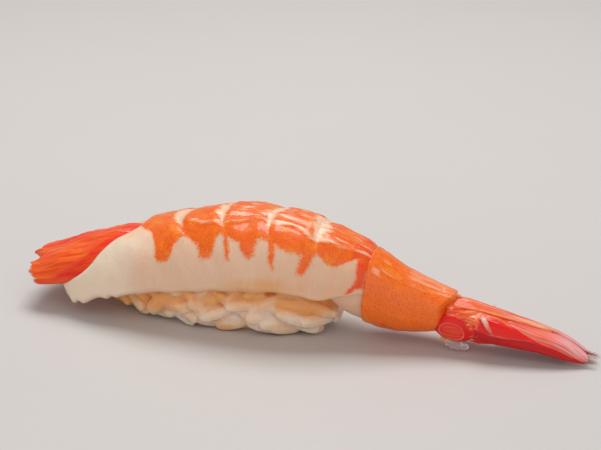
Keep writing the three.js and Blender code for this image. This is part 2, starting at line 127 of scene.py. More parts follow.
# The red flap at the neck.
FLAP_TIP_X = -39.5
FLAP_ROOT_X = -14
FLAP_TOP = [[-40, 8.7], [-37.5, 9.2], [-32.7, 11.2], [-28.4, 12.9], [-22, 15.1], [-14, 16.6]]
FLAP_BOTTOM = [[-40, 4.3], [-36, 4.6], [-30, 5.6], [-22, 7.4], [-14, 9.6]]
FLAP_HALF_WIDTH = [[-40, 7.6], [-36, 9], [-28, 9.4], [-14, 9.2]]
FLAP_THICKNESS = [[-40, 1.4], [-35, 1.9], [-30, 2.2], [-14, 2.2]]
FLAP_ROUNDING = 1.8  # length over which it thins to its front edge
FLAP_SWEEP = 3.2  # how far back its corners lie
# Its one tear: the middle of it, half its width and its depth.
FLAP_TEAR = {"turn": -0.3, "half_width": 0.14, "depth": 2.2}

# The last segment, in its shell.
SEGMENT_END_X = 46.2
SEGMENT_TOP = [[28.5, 17.7], [34.3, 14.5], [40, 12.1], [46.2, 10.3]]
SEGMENT_BOTTOM = [[28.5, 3.3], [33, 2.2], [38, 2.1], [42, 2.8], [46.2, 3.6]]
SEGMENT_HALF_WIDTH = [[28.5, 7.1], [36, 6.2], [41, 5.1], [46.2, 4.3]]
SEGMENT_SLANT = 2.5  # how much further forward its rear edge stands on the sides than on top
SEGMENT_CLOSING = 0.07  # share of its length in which its rear end closes
SEGMENT_POLE_X = 44.9  # where its rear end closes on its axis
# Where its front edge lies on the flesh, by degrees from the top.
SHELL_EDGE_X = [[0, 29.7], [60, 29.7], [102, 29.3], [132, 28.9], [180, 28.7]]
# Angles from the top of the ridge and the red hem on each side, and of the dark line on the crest.
RIDGE_ANGLE = [[30, 20], [32.4, 32], [36, 34], [42, 35]]
HEM_ANGLE = [[32, 128], [34.7, 133], [38.8, 139], [42.4, 132]]
DARK_LINE_ANGLE = [[30.5, 18], [33.5, -12], [35.8, -8], [45, -6]]
KEEL_HEIGHT = 0.4
SHELL_RIM = 0.22  # how far its front edge stands out
SHELL_START = -0.5  # how far inside the flesh its front edge begins
SHELL_ROUNDING = 0.35  # length over which that edge comes out of the flesh
SEGMENT_RADIUS = 6  # about its mean, which turns an angle into a length round it
TOOTH = {"path": [[43.2, 0.0, 10.45], [45, 0.0, 10.2], [46.6, 0.0, 9.65]], "radius": 0.42}

# The closed tail fan lies on a flattened cone, which these curves give.
FAN_AXIS_Z = [[44, 6.25], [50, 5.1], [56, 4.05], [62, 3], [67, 1.85], [70.3, 1]]
FAN_HALF_WIDTH = [[44, 4], [48, 4.8], [54, 4.9], [60, 4.4], [66, 3.4], [70.3, 2.1]]
FAN_HALF_HEIGHT = [[44, 3.65], [48, 3.75], [54, 3.4], [60, 3.1], [66, 2.75], [70.3, 1.2]]
BLADE_THICKNESS = 0.75
BLADE_RIB = 0.22  # height of a blade's middle rib
# Each blade: the angle from the top of its upper and lower edges along x, and its depth under the
# cone.
SPINE = {
    "upper": [[44, -37], [46.6, -34], [51, -24], [56, -16], [61, -10.5], [64.5, 0]],
    "lower": [[44, 37], [46.6, 34], [51, 24], [56, 16], [61, 10.5], [64.5, 0]],
    "depth": [[44, 0.3], [48, 0], [64.5, 0]],
}
INNER_BLADE = {
    "upper": [[47.2, 2], [60, 2], [66, 3], [69, 8], [70.3, 30]],
    "lower": [[47.2, 62], [56, 66], [62, 86], [66, 99], [69, 104], [70.3, 80]],
    "depth": [[47.2, 1.0], [53, 0.7], [57, 0.36], [66, 0.34], [70.3, 0.34]],
}
OUTER_BLADE = {
    "upper": [
        [46, 33], [49.4, 26], [53, 19], [54.8, 22], [56.2, 32], [58, 45], [60, 56], [62, 66], [65, 73],
        [68.4, 92], [69.6, 99],
    ],
    "lower": [[46, 108], [49.8, 112], [53.3, 116], [57, 110], [62, 103], [66.9, 108], [69.6, 107]],
    "depth": [[46, 1.4], [49.3, 0.34], [50.6, 0.12], [69.6, 0.1]],
}
# The angle of the rib along each outer blade, and of the pale streak along the spine, a painted highlight.
OUTER_RIDGE = [[47, 84], [50, 82], [54, 79], [59.7, 68], [62.8, 71], [66.2, 78], [69.6, 100]]
SPINE_STREAK = [[46, -8], [55, 4], [64.5, 0]]
# The fan's core: its two ends, and its size beside the cone in front and to the rear, with what is
# added in the segment's rear end.
FAN_CORE = {"ends": [43.5, 66], "front": 0.93, "rear": 0.64, "collar": 0.11}
CORE_FOLD = 0.28  # height of the folds on the core
BLADE_FOLD = 0.15  # and on the outer blades
# The near root plate: its length, width and height, its middle, and how far its rear end dips.
ROOT_PLATE = {"size": [8, 3.9, 5.2], "at": [45.8, -3.05, 5], "pitch": 12}
ROOT_RING = [0.6, 0.06]  # middle and half width of the plate's pale loop, as shares of the plate
# The path of a spur, as [x, angle]. The far one lies lower by an angle.
SPUR = {"path": [[50.9, 37], [51.3, 44], [52.2, 59], [53.4, 80]], "radius": 0.5, "lift": 0.15}
SPUR_WIDEST = 0.14  # share of its length where it is widest
SPUR_FAR_DROP = 20
# The clear shred under the tail's root: its sizes, the wave of its sheet, its middle and its dip.
SHRED = {
    "length": 5.6, "depth": 2.2, "thickness": 0.2, "wave": 0.35, "at": [45.9, -2.4, 1.6], "pitch": 20,
}
# The fringe: each group's angles and places along x, and its number of hairs.
HAIRS = [
    {"angles": [8, 92], "along": [69.0, 70.0], "count": 26},
    {"angles": [96, 116], "along": [67.4, 69.0], "count": 10},
]
HAIR_RADIUS = 0.032
HAIR_SINK = 0.9  # how far inside the cone they start
HAIR_LOWEST = {"root": 0.25, "tip": 0.12}  # least heights over the floor

# The rice.
RICE_MIDDLE_X = 0.5
RICE_HALF_LENGTH = 22.3
RICE_HALF_WIDTH = 8.6
RICE_WAIST_Z = 6  # where it is widest
RICE_TUCK = 8.5  # how far under its waist its sides would meet
RICE_TOP_Z = 17.5
RICE_SQUARENESS = 2.5  # power of its outline, which is an oval at 2
# Rows of grains round the bed: the height of each, and how far in it lies.
RICE_ROWS = [
    [1.7, 0.2], [2.9, 0.8], [4.1, 0.1], [5.4, 0.7], [6.6, 0.1], [7.9, 0.6], [9.1, 0.1], [10.4, 0.8],
]
# How unevenly the grains lie, as the least and the most.
GRAIN_ALONG = [-0.3, 0.3]  # along the row, as a share of the room for a grain
GRAIN_LEAN = [-1.1, 1.1]  # in the bed's surface, in radians
GRAIN_TIP = [-0.45, 0.45]  # slope out of that surface
GRAIN_SCALE = [0.86, 1.12]
GRAIN_OUT = [-0.75, 0.35]
GRAIN_UP = [-0.6, 0.6]
LOW_ROWS = 2  # in these rows, next to the floor, the grains lean less
LOW_LEAN = 0.45
TONE_REACH = 0.33  # distance over which the tones of two grains blend
CORE_SHARE = 0.93  # size of the bed's core beside the bed
CORE_SOFTNESS = 0.4  # how rounded the hollows between the grains are
CORE_SINK = 0.2  # how far the core's skin lies under the grains
CORE_GRAIN = 0.23  # square of a grain's radius as that skin takes it, with the grain's length as 1
SKIN_SMOOTHING = 4  # rounds in which that skin's creases are softened
RICE_VOXEL = 0.215  # size of the quads in the skin of the whole bed

# The photograph's frame and view.
IMAGE_WIDTH = 601
IMAGE_MIDDLE = [300.5, 225]
FOCAL_PIXELS = 1669.4
SENSOR_WIDTH = 36
VIEW_AZIMUTH = 19  # degrees
VIEW_PITCH = 20
ORIGIN_PIXEL = [225, 314]
PIXELS_PER_MM = 5.2

# The soft lights, in metres.
KEY_LIGHT = {"size": 0.32, "place": (-0.06, 0.2, 0.5)}
FILL_LIGHT = {"size": 1.1, "place": (0.14, -0.53, 0.22)}
LIGHT_TARGET = (0.01, 0, 0.01)
SKY_COLOUR = (1.0, 0.97, 0.94, 1)

# ---------------------------------------------------------------- settings


def length(name, description, default):
    return bpy.props.FloatProperty(
        name=name, description=description, default=default, unit="LENGTH", precision=4
    )


def power(name, description, default):
    return bpy.props.FloatProperty(name=name, description=description, default=default, unit="POWER")


def colour(name, description, default):
    return bpy.props.FloatVectorProperty(
        name=name, description=description, default=default, subtype="COLOR", size=3, min=0, max=1
    )


class FleshSettings(bpy.types.PropertyGroup):
    """Colours of the opened body and the flap at its neck."""

    cream: colour("Cream", "Thick opaque flesh of the lobes at the neck", (0.84, 0.68, 0.52))
    pink: colour("Pink", "Thinner translucent flesh of the sides", (0.82, 0.54, 0.37))
    # Peach is painted warm light, thrown on the flesh by the rice near the lips.
    peach: colour("Peach", "Flesh close to the lips, warmed by the rice", (0.8, 0.4, 0.16))
    orange: colour("Orange", "Colour of the bands across the back", (0.93, 0.155, 0.006))
    vermilion: colour("Vermilion", "Fine dots and streaks in the bands", (0.8, 0.055, 0.003))
    flap: colour("Flap", "Middle of the red flap", (0.92, 0.085, 0.006))
    # Crimson edges the flap, and also paints the shade beside the white lobes that stand over it.
    crimson: colour("Crimson", "Edges of the red flap", (0.86, 0.02, 0.006))


class TailSettings(bpy.types.PropertyGroup):
    """Sizes and colours of the last segment and the tail fan."""

    shell: colour("Shell", "Shell of the last segment", (0.96, 0.17, 0.008))
    # Rose sheen is a painted highlight along the ridges and crest of the shell.
    rose_sheen: colour("Rose", "Pale shine along the ridges of the shell", (0.93, 0.42, 0.24))
    scarlet: colour("Scarlet", "Outer blades and root plates", (0.8, 0.014, 0.008))
    blush: colour("Blush", "Thin rear part of the inner blades", (0.92, 0.45, 0.44))
    # Crimson is partly the blades' own deeper red, and partly painted shade on their lower faces.
    crimson: colour("Crimson", "Dark lower part of the outer blades", (0.55, 0.01, 0.012))
    hair: colour("Hairs", "Fringe of hairs on the blades", (0.5, 0.2, 0.16))
    membrane: colour("Membrane", "Clear shred of skin under the tail's root", (0.95, 0.88, 0.85))
    hair_length: length("Hair length", "Length of the fringe of hairs", 0.0028)


class RiceSettings(bpy.types.PropertyGroup):
    """Sizes and colours of the bed of rice."""

    grain_length: length("Grain length", "Length of a cooked grain", 0.0067)
    grain_width: length("Grain width", "Width of a cooked grain", 0.0032)
    grain_depth: length("Grain depth", "Thickness of a cooked grain", 0.0028)
    spacing: length("Spacing", "Room along the bed for each grain of a row", 0.0046)
    seed: bpy.props.IntProperty(name="Seed", description="Which way the grains fall", default=7, min=0)
    milk: colour("Milk", "Outer grains", (0.94, 0.69, 0.52))
    # Amber is painted light: the glow of light scattered deep between the grains, and the shrimp's orange
    # reflected near the flesh.
    amber: colour("Amber", "Between the grains", (0.9, 0.4, 0.12))


class StageSettings(bpy.types.PropertyGroup):
    """Floor and light."""

    floor: colour("Floor", "Plain floor", (0.62, 0.59, 0.57))
    floor_size: length("Floor size", "Side of the square floor", 3.0)
    key_power: power("Key", "Soft light above and behind", 2.2)
    fill_power: power("Fill", "Soft light in front", 2.45)
    sky_strength: bpy.props.FloatProperty(
        name="Sky", description="Even light from all round", default=0.36, min=0
    )


# ---------------------------------------------------------------- curves and shapes


def value_at(points, x):
    """A smooth curve through a few [x, value] points: a cubic between each two, whose slope at a
    point is that of the line between its neighbours."""
    px, py = np.array(points, float).T
    before = np.maximum(np.arange(len(px)) - 1, 0)
    after = np.minimum(np.arange(len(px)) + 1, len(px) - 1)
    slopes = (py[after] - py[before]) / (px[after] - px[before])
    i = np.clip(np.searchsorted(px, x, side="right") - 1, 0, len(px) - 2)
    span = px[i + 1] - px[i]
    t = np.clip((x - px[i]) / span, 0, 1)
    bend = span * t * (1 - t) * (slopes[i] * (1 - t) - slopes[i + 1] * t)
    return py[i] + (py[i + 1] - py[i]) * t * t * (3 - 2 * t) + bend


def bump(value, middle, half_width):
    """A bell: 1 at the middle, and e to the minus square of the distance in half widths."""
    return np.exp(-(((value - middle) / half_width) ** 2))


def blend(a, b, share):
    return a + (b - a) * share


def smooth_step(value, low, high):
    """0 below low and 1 above high, with a smooth cubic between."""
    t = np.clip((value - low) / (high - low), 0, 1)
    return t * t * (3 - 2 * t)


def round_edge(distance, radius):
    """Outline of a round edge: 0 at the edge itself, 1 from one radius inward."""
    return np.sqrt(1 - (1 - np.clip(distance / radius, 0, 1)) ** 2)


def soft_min(a, b, blend_size):
    """The smaller of two distances, rounded off where they are alike."""
    near = np.maximum(blend_size - np.abs(a - b), 0) / blend_size
    return np.minimum(a, b) - near * near * blend_size / 4


def soft_max(a, b, blend_size):
    return -soft_min(-a, -b, blend_size)


def ripples(points, size, seed, count=7):
    """Unevenness from -1 to 1: the mean of a few sine waves of about one size, which run through
    space in seeded directions."""
    rng = np.random.default_rng(seed)
    ways = rng.normal(size=(count, 3))
    ways /= np.linalg.norm(ways, axis=1, keepdims=True)
    turns = 2 * np.pi / (size * rng.uniform(0.7, 1.5, count))
    starts = rng.uniform(0, 2 * np.pi, count)
    return np.sin(points @ (ways * turns[:, None]).T + starts).sum(-1) / np.sqrt(count) / 1.5


def normals_of(grid):
    """Unit normals of a grid of rows of rings: the way round crossed with the way along."""
    along = np.gradient(grid, axis=0)
    around = np.roll(grid, -1, axis=1) - np.roll(grid, 1, axis=1)
    normal = np.cross(around, along)
    return normal / np.maximum(np.linalg.norm(normal, axis=-1, keepdims=True), 1e-9)


def ring_angles(count):
    """Angles round a ring of places, in the sense in which a tube's faces point out."""
    return np.linspace(0, -2 * np.pi, count, endpoint=False)[None]


def lifted(grid, height):
    """The grid moved outward by a height at each place."""
    return grid + normals_of(grid) * height[..., None]


def pitched(points, pitch):
    """The points turned about Y, so that their rear end dips by an angle in degrees."""
    x, y, z = np.moveaxis(points, -1, 0)
    cosine, sine = np.cos(np.radians(pitch)), np.sin(np.radians(pitch))
    return np.stack([x * cosine + z * sine, y, z * cosine - x * sine], -1)


# ---------------------------------------------------------------- meshes


def loft_faces(rows, ring):
    """Quads between each ring of points and the next, and a fan from each end ring to a middle
    point. The middle points come last."""
    r, c = np.meshgrid(np.arange(rows - 1), np.arange(ring), indexing="ij")
    after = (c + 1) % ring
    quads = np.stack([r * ring + c, r * ring + after, (r + 1) * ring + after, (r + 1) * ring + c], -1)
    around = np.arange(ring)
    follows = (around + 1) % ring
    first, last = rows * ring, rows * ring + 1
    start_fan = np.stack([follows, around, np.full(ring, first)], -1)
    end_fan = np.stack([around, follows, np.full(ring, last)], -1)
    end_fan[:, :2] += (rows - 1) * ring
    return quads.reshape(-1, 4).tolist() + start_fan.tolist() + end_fan.tolist()


def with_ends(values):
    """The values of a grid's points in one list, with the mean of its first and last rings after
    them, for the two middle points."""
    flat = values.reshape(-1, *values.shape[2:])
    return np.concatenate([flat, values[:1].mean(1), values[-1:].mean(1)])


def make_piece(name, points, faces, finish, slot_name, replaced=(), **values):
    """A smooth piece at the origin from points in millimetres, with one attribute for each named
    list of values. Points that meet are merged, so that sharp edges and poles are closed."""
    mesh = bpy.data.meshes.new(name)
    mesh.from_pydata(points * MM, [], faces)
    for key, value in values.items():
        mesh.attributes.new(key, "FLOAT", "POINT").data.foreach_set("value", value.astype(np.float32).ravel())
    work = bmesh.new()
    work.from_mesh(mesh)
    bmesh.ops.remove_doubles(work, verts=work.verts, dist=2e-6)
    if work.calc_volume(signed=True) < 0:
        bmesh.ops.reverse_faces(work, faces=work.faces)
    work.to_mesh(mesh)
    work.free()
    mesh.polygons.foreach_set("use_smooth", np.ones(len(mesh.polygons), bool))
    mesh.materials.append(finish)
    piece = bpy.data.objects.new(name, mesh)
    bpy.context.scene.collection.objects.link(piece)
    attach(piece, BODY)
    if replaced:
        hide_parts(*replaced)
    return piece


def make_loft(name, grid, finish, slot_name, replaced=(), **values):
    """A closed piece from a grid of rings."""
    flat = {key: with_ends(np.broadcast_to(value, grid.shape[:2])) for key, value in values.items()}
    make_piece(name, with_ends(grid), loft_faces(*grid.shape[:2]), finish, slot_name, replaced, **flat)


def joined(parts):
    """Several (points, faces, values) as one, with each part's faces counted on from the last."""
    points, faces, values, count = [], [], {}, 0
    for part_points, part_faces, part_values in parts:
        points.append(part_points)
        faces += [[corner + count for corner in face] for face in part_faces]
        for key, value in part_values.items():
            values.setdefault(key, []).append(value)
        count += len(part_points)
    return np.concatenate(points), faces, {key: np.concatenate(value) for key, value in values.items()}


def copies(template, faces, frames, middles):
    """Many copies of a template: each frame's three columns turn and stretch it, and then it is
    moved to its middle."""
    points = np.einsum("nij,kj->nki", frames, template) + middles[:, None, :]
    step = len(template)
    all_faces = [[corner + n * step for corner in face] for n in range(len(frames)) for face in faces]
    return points.reshape(-1, 3), all_faces


# ---------------------------------------------------------------- finishes


class Value:
    """A value in a finish. Arithmetic on it adds Math nodes."""

    def __init__(self, finish, socket):
        self.finish = finish
        self.socket = socket

    def math(self, operation, *values):
        return self.finish.node("ShaderNodeMath", {"operation": operation}, dict(enumerate(values)))

    def __add__(self, other):
        return self.math("ADD", self, other)

    def __sub__(self, other):
        return self.math("SUBTRACT", self, other)

    def __rsub__(self, other):
        return self.math("SUBTRACT", other, self)

    def __mul__(self, other):
        return self.math("MULTIPLY", self, other)

    __radd__ = __add__
    __rmul__ = __mul__

    def size(self):
        return self.math("ABSOLUTE", self)

    def larger(self, other):
        return self.math("MAXIMUM", self, other)

    def step(self, low, high):
        """0 at low and 1 at high, with a smooth cubic between. Low may be the larger."""
        if low > high:
            return 1 - self.step(high, low)
        ends = {"Value": self, "From Min": low, "From Max": high}
        return self.finish.node("ShaderNodeMapRange", {"interpolation_type": "SMOOTHSTEP"}, ends)


class Finish:
    """A material and the nodes that make it."""

    def __init__(self, name):
        self.material = bpy.data.materials.new(name)
        self.material.use_nodes = True
        self.nodes = self.material.node_tree.nodes
        self.links = self.material.node_tree.links
        self.shader = self.nodes["Principled BSDF"]

    def feed(self, socket, value):
        if isinstance(value, Value):
            self.links.new(value.socket, socket)
        elif socket.type == "RGBA":
            socket.default_value = (*value, 1)
        else:
            socket.default_value = value

    def node(self, kind, settings=None, inputs=None, output=0):
        """Adds a node: its settings are set first, and then each input's value or link."""
        node = self.nodes.new(kind)
        for key, setting in (settings or {}).items():
            setattr(node, key, setting)
        for key, value in (inputs or {}).items():
            self.feed(node.inputs[key], value)
        return Value(self, node.outputs[output])

    def attribute(self, name):
        return self.node("ShaderNodeAttribute", {"attribute_name": name}, output="Fac")

    def attributes(self, *names):
        """Several of the piece's attributes, in order."""
        return [self.attribute(name) for name in names]

    def place(self):
        """The place on the object, in millimetres."""
        here = self.node("ShaderNodeTexCoord", output="Object")
        return self.node("ShaderNodeMapping", {}, {"Vector": here, "Scale": [1 / MM] * 3})

    def vector(self, x, y, z=0.0):
        return self.node("ShaderNodeCombineXYZ", {}, {0: x, 1: y, 2: z})

    def noise(self, size, at, detail=2.0):
        """Soft unevenness from 0 to 1, with lumps of about one size in millimetres."""
        inputs = {"Vector": at, "Scale": 1 / size, "Detail": detail, "Roughness": 0.55}
        return self.node("ShaderNodeTexNoise", {}, inputs)

    def dots(self, size, at):
        """Distance from the nearest of scattered points, 0 at a point and about 0.6 between."""
        return self.node("ShaderNodeTexVoronoi", {}, {"Vector": at, "Scale": 1 / size})

    def mix(self, under, over, share):
        return self.node("ShaderNodeMix", {"data_type": "RGBA"}, {0: share, 6: under, 7: over}, output=2)

    def relief(self, height, depth, under=None):
        """A bump of a depth in millimetres, over another bump or the plain surface."""
        inputs = {"Height": height, "Distance": depth * MM, "Strength": 1.0}
        if under is not None:
            inputs["Normal"] = under
        return self.node("ShaderNodeBump", {}, inputs)

    def done(self, **sockets):
        """Sets the shader's own sockets, named with underscores for spaces."""
        for key, value in sockets.items():
            self.feed(self.shader.inputs[key.replace("_", " ")], value)
        return self.material


MOIST = {"Coat_Weight": 0.45, "Coat_Roughness": 0.07, "IOR": 1.38, "Specular_IOR_Level": 0.3}
SLEEK = {"Coat_Weight": 0.3, "Coat_Roughness": 0.08, "IOR": 1.38, "Specular_IOR_Level": 0.2}
WET = {"Coat_Weight": 0.7, "Coat_Roughness": 0.08, "IOR": 1.38, "Specular_IOR_Level": 0.3}
FLESHY = {
    "Subsurface_Weight": 0.45, "Subsurface_Radius": (1.0, 0.45, 0.28), "Subsurface_Scale": 0.0022,
}
GRAINY = {
    "Subsurface_Weight": 0.75, "Subsurface_Radius": (1.0, 0.62, 0.42), "Subsurface_Scale": 0.0035,
}
SHELLY = {
    "Subsurface_Weight": 0.25, "Subsurface_Radius": (1.0, 0.3, 0.12), "Subsurface_Scale": 0.0012,
}


def flesh_finish(s):
    """White flesh with fine fibres, orange bands that break up into dots at their edges, pale joints
    and streaks on the back, a painted highlight along the back's low ridges, and painted warm light
    from the rice near the lips."""
    f = Finish("boiled_flesh")
    at = f.place()
    band, along, around = f.attributes("band", "along", "around")
    streaky, shine, cream, lip = f.attributes("streaky", "shine", "cream", "lip")
    side = around.size() * (1 / SIDE_LENGTH)
    lengthwise = f.vector(along * 0.16, around)
    downward = f.vector(along, around * 0.14)

    fibres = f.noise(0.9, downward)
    cloud = f.noise(5, at) - 0.5
    base = f.mix(s.pink, s.cream, (cream + cloud * 0.9).step(0.1, 0.9))
    base = f.mix(base, (0.82, 0.45, 0.26), (along * 0.03 + cloud * 1.2).step(0.1, 1.1) * 0.6)
    # Painted warm light from the rice near the lips.
    base = f.mix(base, s.peach, (lip + cloud * 1.3).step(0.3, 1.3))
    base = f.mix(base, (0.9, 0.74, 0.62), (fibres - 0.5).step(0, 0.4) * 0.22)
    pale = f.mix(base, (0.92, 0.58, 0.38), side.step(0.42, 0.25))

    dots = f.dots(0.42, at)
    mottle = f.noise(2.4, at, 3)
    bright = f.mix(s.orange, (0.94, 0.28, 0.012), mottle.step(0.45, 0.75))
    dotted = f.mix(bright, s.vermilion, dots.step(0.5, 0.1) * 0.7)
    red_streak = f.noise(0.6, lengthwise, 3).step(0.53, 0.64) * streaky
    red = (f.attribute("red") + (mottle - 0.5)).step(0.2, 0.8).larger(red_streak)
    pigment = f.mix(dotted, (0.86, 0.05, 0.003), red * 0.7)

    edge = band + (f.noise(1.8, at) - 0.5) * 1.1 + (0.32 - dots) * 0.45
    cover = edge.step(-0.45, 0.45)
    patchy = f.noise(1.3, f.vector(along * 0.4, around), 3)
    streak = f.noise(0.6, lengthwise, 3).step(0.52, 0.6) * patchy.step(0.42, 0.56) * streaky
    # Painted highlight: broken pale glints along the low ridges of the back.
    painted_glint = (shine + (patchy - 0.5) * 2.2 + (f.noise(0.5, lengthwise) - 0.5) * 1.2).step(0.4, 1.1)
    # The back's own pale streaks, together with that painted highlight.
    streak_and_glint = streak.larger(painted_glint)
    cover = cover * (1 - streak_and_glint * 0.8)
    stray = f.noise(0.5, downward).step(0.62, 0.72) * edge.step(-2.6, -0.6) * 0.2
    skin = f.mix(pale, pigment, cover.larger(stray))

    rough = 0.44 - cover * 0.1 - streak_and_glint * 0.14 + (f.noise(1.1, at) - 0.5) * 0.16
    height = fibres * 0.35 + f.noise(0.9, at, 3) * 0.6 + (1 - cover) * 0.1 - streak_and_glint * 0.2
    fine = f.relief(height, 0.14)
    return f.done(Base_Color=skin, Roughness=rough, Normal=f.relief(dots, 0.03, fine), **MOIST, **FLESHY)


def flap_finish(s):
    """Torn red flesh: lengthwise strands from orange-yellow to crimson, darkest at its edges, with
    painted shade where the white lobes stand over it, and pale where it frays."""
    f = Finish("red_flap")
    at = f.place()
    along, around, edge, fray = f.attributes("along", "around", "edge", "fray")
    strands = f.noise(1.6, f.vector(along * 0.13, around), 2)
    fine = f.noise(0.5, f.vector(along * 0.12, around), 2)
    patches = f.noise(2.6, f.vector(along * 0.5, around), 3)
    middle = f.mix(s.flap, (0.95, 0.21, 0.01), (strands * 0.5 + fine * 0.2 + patches * 0.3).step(0.47, 0.66))
    # The edge attribute takes it to crimson along the crest and at the lips, and paints shade beside the
    # lobes' front edge.
    depth = edge + (strands - 0.5) * 0.9 + (patches - 0.5) * 1.7 + (fine - 0.5) * 0.8
    red = f.mix(middle, s.crimson, depth.step(0.35, 1.1))
    torn = (fray + (f.noise(0.9, at) - 0.5) * 1.2).step(0.55, 0.8)
    skin = f.mix(red, (0.92, 0.55, 0.42), torn * 0.8)
    rough = 0.38 + (patches - 0.5) * 0.2
    bumps = f.relief(strands * 0.6 + fine * 0.2 + patches * 0.4, 0.16)
    return f.done(Base_Color=skin, Roughness=rough, Normal=bumps, **MOIST, **FLESHY)


def shell_finish(s):
    """Wet orange shell with fine dots, redder at its rims and keel, with painted highlights: rosy along
    its ridges and crest, and pale patches.
    """
    f = Finish("orange_shell")
    at = f.place()
    red, rosy, patch, gold = f.attributes("red", "rosy", "patch", "gold")
    along, around = f.attributes("along", "around")
    dots = f.dots(0.42, at)
    mottle = f.noise(3.2, at, 3)
    streaks = f.noise(0.7, f.vector(along * 0.12, around), 3)
    golden = (gold + (mottle - 0.5) * 1.2 + (streaks - 0.5)).step(0.3, 1.1)
    wander = f.noise(1.4, at) - 0.5
    reddened = (red + wander * 0.9 + (streaks - 0.5) * 0.7).step(0.3, 0.95)
    # Painted highlight: pale glossy patches on the shell.
    painted_sheen = (patch + wander * 0.9 + (streaks - 0.5) * 0.9).step(0.35, 0.95)
    base = f.mix(s.shell, (0.95, 0.21, 0.01), mottle.step(0.45, 0.75) * 0.7)
    base = f.mix(base, (0.95, 0.36, 0.02), golden * 0.8)
    base = f.mix(base, (0.8, 0.055, 0.004), dots.step(0.5, 0.1) * 0.75)
    # Painted highlight, rosy along the ridges and crest.
    base = f.mix(base, s.rose_sheen, (rosy + (streaks - 0.5) * 1.5).step(0.4, 1.0) * 0.75)
    base = f.mix(base, (0.78, 0.03, 0.004), reddened * 0.8)
    base = f.mix(base, (0.95, 0.55, 0.38), painted_sheen * 0.7)
    rough = 0.33 + (f.noise(1.2, at) - 0.5) * 0.14
    fine = f.relief(f.noise(1.3, at, 3) * 0.5 + streaks * 0.25, 0.12)
    return f.done(Base_Color=base, Roughness=rough, Normal=f.relief(dots, 0.03, fine), **MOIST, **SHELLY)


def blade_finish(name, deep, middle, thin):
    """Glossy tail blade with fine lengthwise lines. Its rosy attribute leads from the deep colour
    at 0, through the middle one, to the thin pale one at 1, and its line attribute draws pale lines: a
    painted highlight along ribs and folds, and the pale hems and loops of some pieces."""
    f = Finish(name)
    at = f.place()
    along, around, rosy, ridge = f.attributes("along", "around", "rosy", "line")
    lines = f.noise(0.3, f.vector(along * 0.03, around), 2)
    broad = f.noise(1.0, f.vector(along * 0.08, around), 3)
    tone = rosy + (broad - 0.5) * 0.3
    base = f.mix(deep, middle, tone.step(0.15, 0.55))
    base = f.mix(base, thin, tone.step(0.55, 1.0))
    base = f.mix(base, (0.72, 0.012, 0.012), lines.step(0.5, 0.62) * 0.65)
    # Pale lines: a painted highlight along ribs and folds, and pale hems and loops.
    base = f.mix(base, (0.96, 0.5, 0.36), (ridge + (broad - 0.5) * 0.5).step(0.35, 0.9) * 0.75)
    rough = 0.26 + (broad - 0.5) * 0.14
    bumps = f.relief(lines * 0.5 + broad * 0.6, 0.14, f.relief(f.noise(1.5, at), 0.1))
    return f.done(Base_Color=base, Roughness=rough, Normal=bumps, **SLEEK, **SHELLY)


def membrane_finish(s):
    """Clear wet skin, yellowish where it is torn off at its root."""
    f = Finish("clear_membrane")
    at = f.place()
    root = f.attribute("root")
    base = f.mix(s.membrane, (0.9, 0.5, 0.1), (root + (f.noise(1, at) - 0.5)).step(0.4, 0.8))
    cloudy = f.noise(1.2, at).step(0.45, 0.75) * 0.3
    alpha = 0.16 + root.step(0.3, 1.0) * 0.45 + f.attribute("edge") * 0.45 + cloudy
    bumps = f.relief(f.noise(1.0, at), 0.06)
    wet = {"Roughness": 0.12, "Coat_Weight": 1.0, "Coat_Roughness": 0.05}
    return f.done(Base_Color=base, Alpha=alpha, Normal=bumps, **wet)


def rice_finish(s, name):
    """Cooked rice: milky and translucent, with amber painted light deep between the grains, where light
    scatters, and near the flesh, where the shrimp's orange is reflected.
    """
    f = Finish(name)
    at = f.place()
    # Painted light: amber deep in the bed and near the flesh.
    deep = f.attribute("inward").step(0.2, 2.4) * 0.6 + f.attribute("glow") + (f.noise(3.2, at) - 0.5) * 0.9
    cloud = f.noise(1.6, at, 3)
    base = f.mix(s.milk, (0.97, 0.84, 0.75), cloud.step(0.45, 0.75))
    base = f.mix(base, s.amber, (deep + (f.attribute("tone") - 0.5) * 1.2).step(-0.1, 1.1))
    rough = 0.28 + (f.noise(0.8, at) - 0.5) * 0.3
    bumps = f.relief(f.noise(1.4, at, 3), 0.14, f.relief(f.noise(0.4, at), 0.02))
    return f.done(Base_Color=base, Roughness=rough, Normal=bumps, **WET, **GRAINY)


def plain_finish(name, tint, size, roughness):
    """One colour, faintly uneven in lightness and roughness."""
    f = Finish(name)
    patches = f.noise(size, f.place(), 3)
    base = f.mix(tint, [channel * 0.94 for channel in tint], patches)
    return f.done(Base_Color=base, Roughness=roughness + (patches - 0.5) * 0.1)


# ---------------------------------------------------------------- flesh and flap


def slab_ring(across, lip_steps, under_steps):
    """The turn and depth of a ring of places round an arched slab: over the outside from the far
    lip (turn 1) to the near lip (turn -1), round that lip as the depth goes from 0 to 1, back
    underneath, and round the far lip."""
    outside = np.linspace(1, -1, across, endpoint=False)
    near_lip = np.linspace(0, 1, lip_steps, endpoint=False)
    underside = np.linspace(-1, 1, under_steps, endpoint=False)
    turn = np.concatenate([outside, -np.ones(lip_steps), underside, np.ones(lip_steps)])
    depth = np.concatenate([np.zeros(across), near_lip, np.ones(under_steps), 1 - near_lip])
    return turn, depth


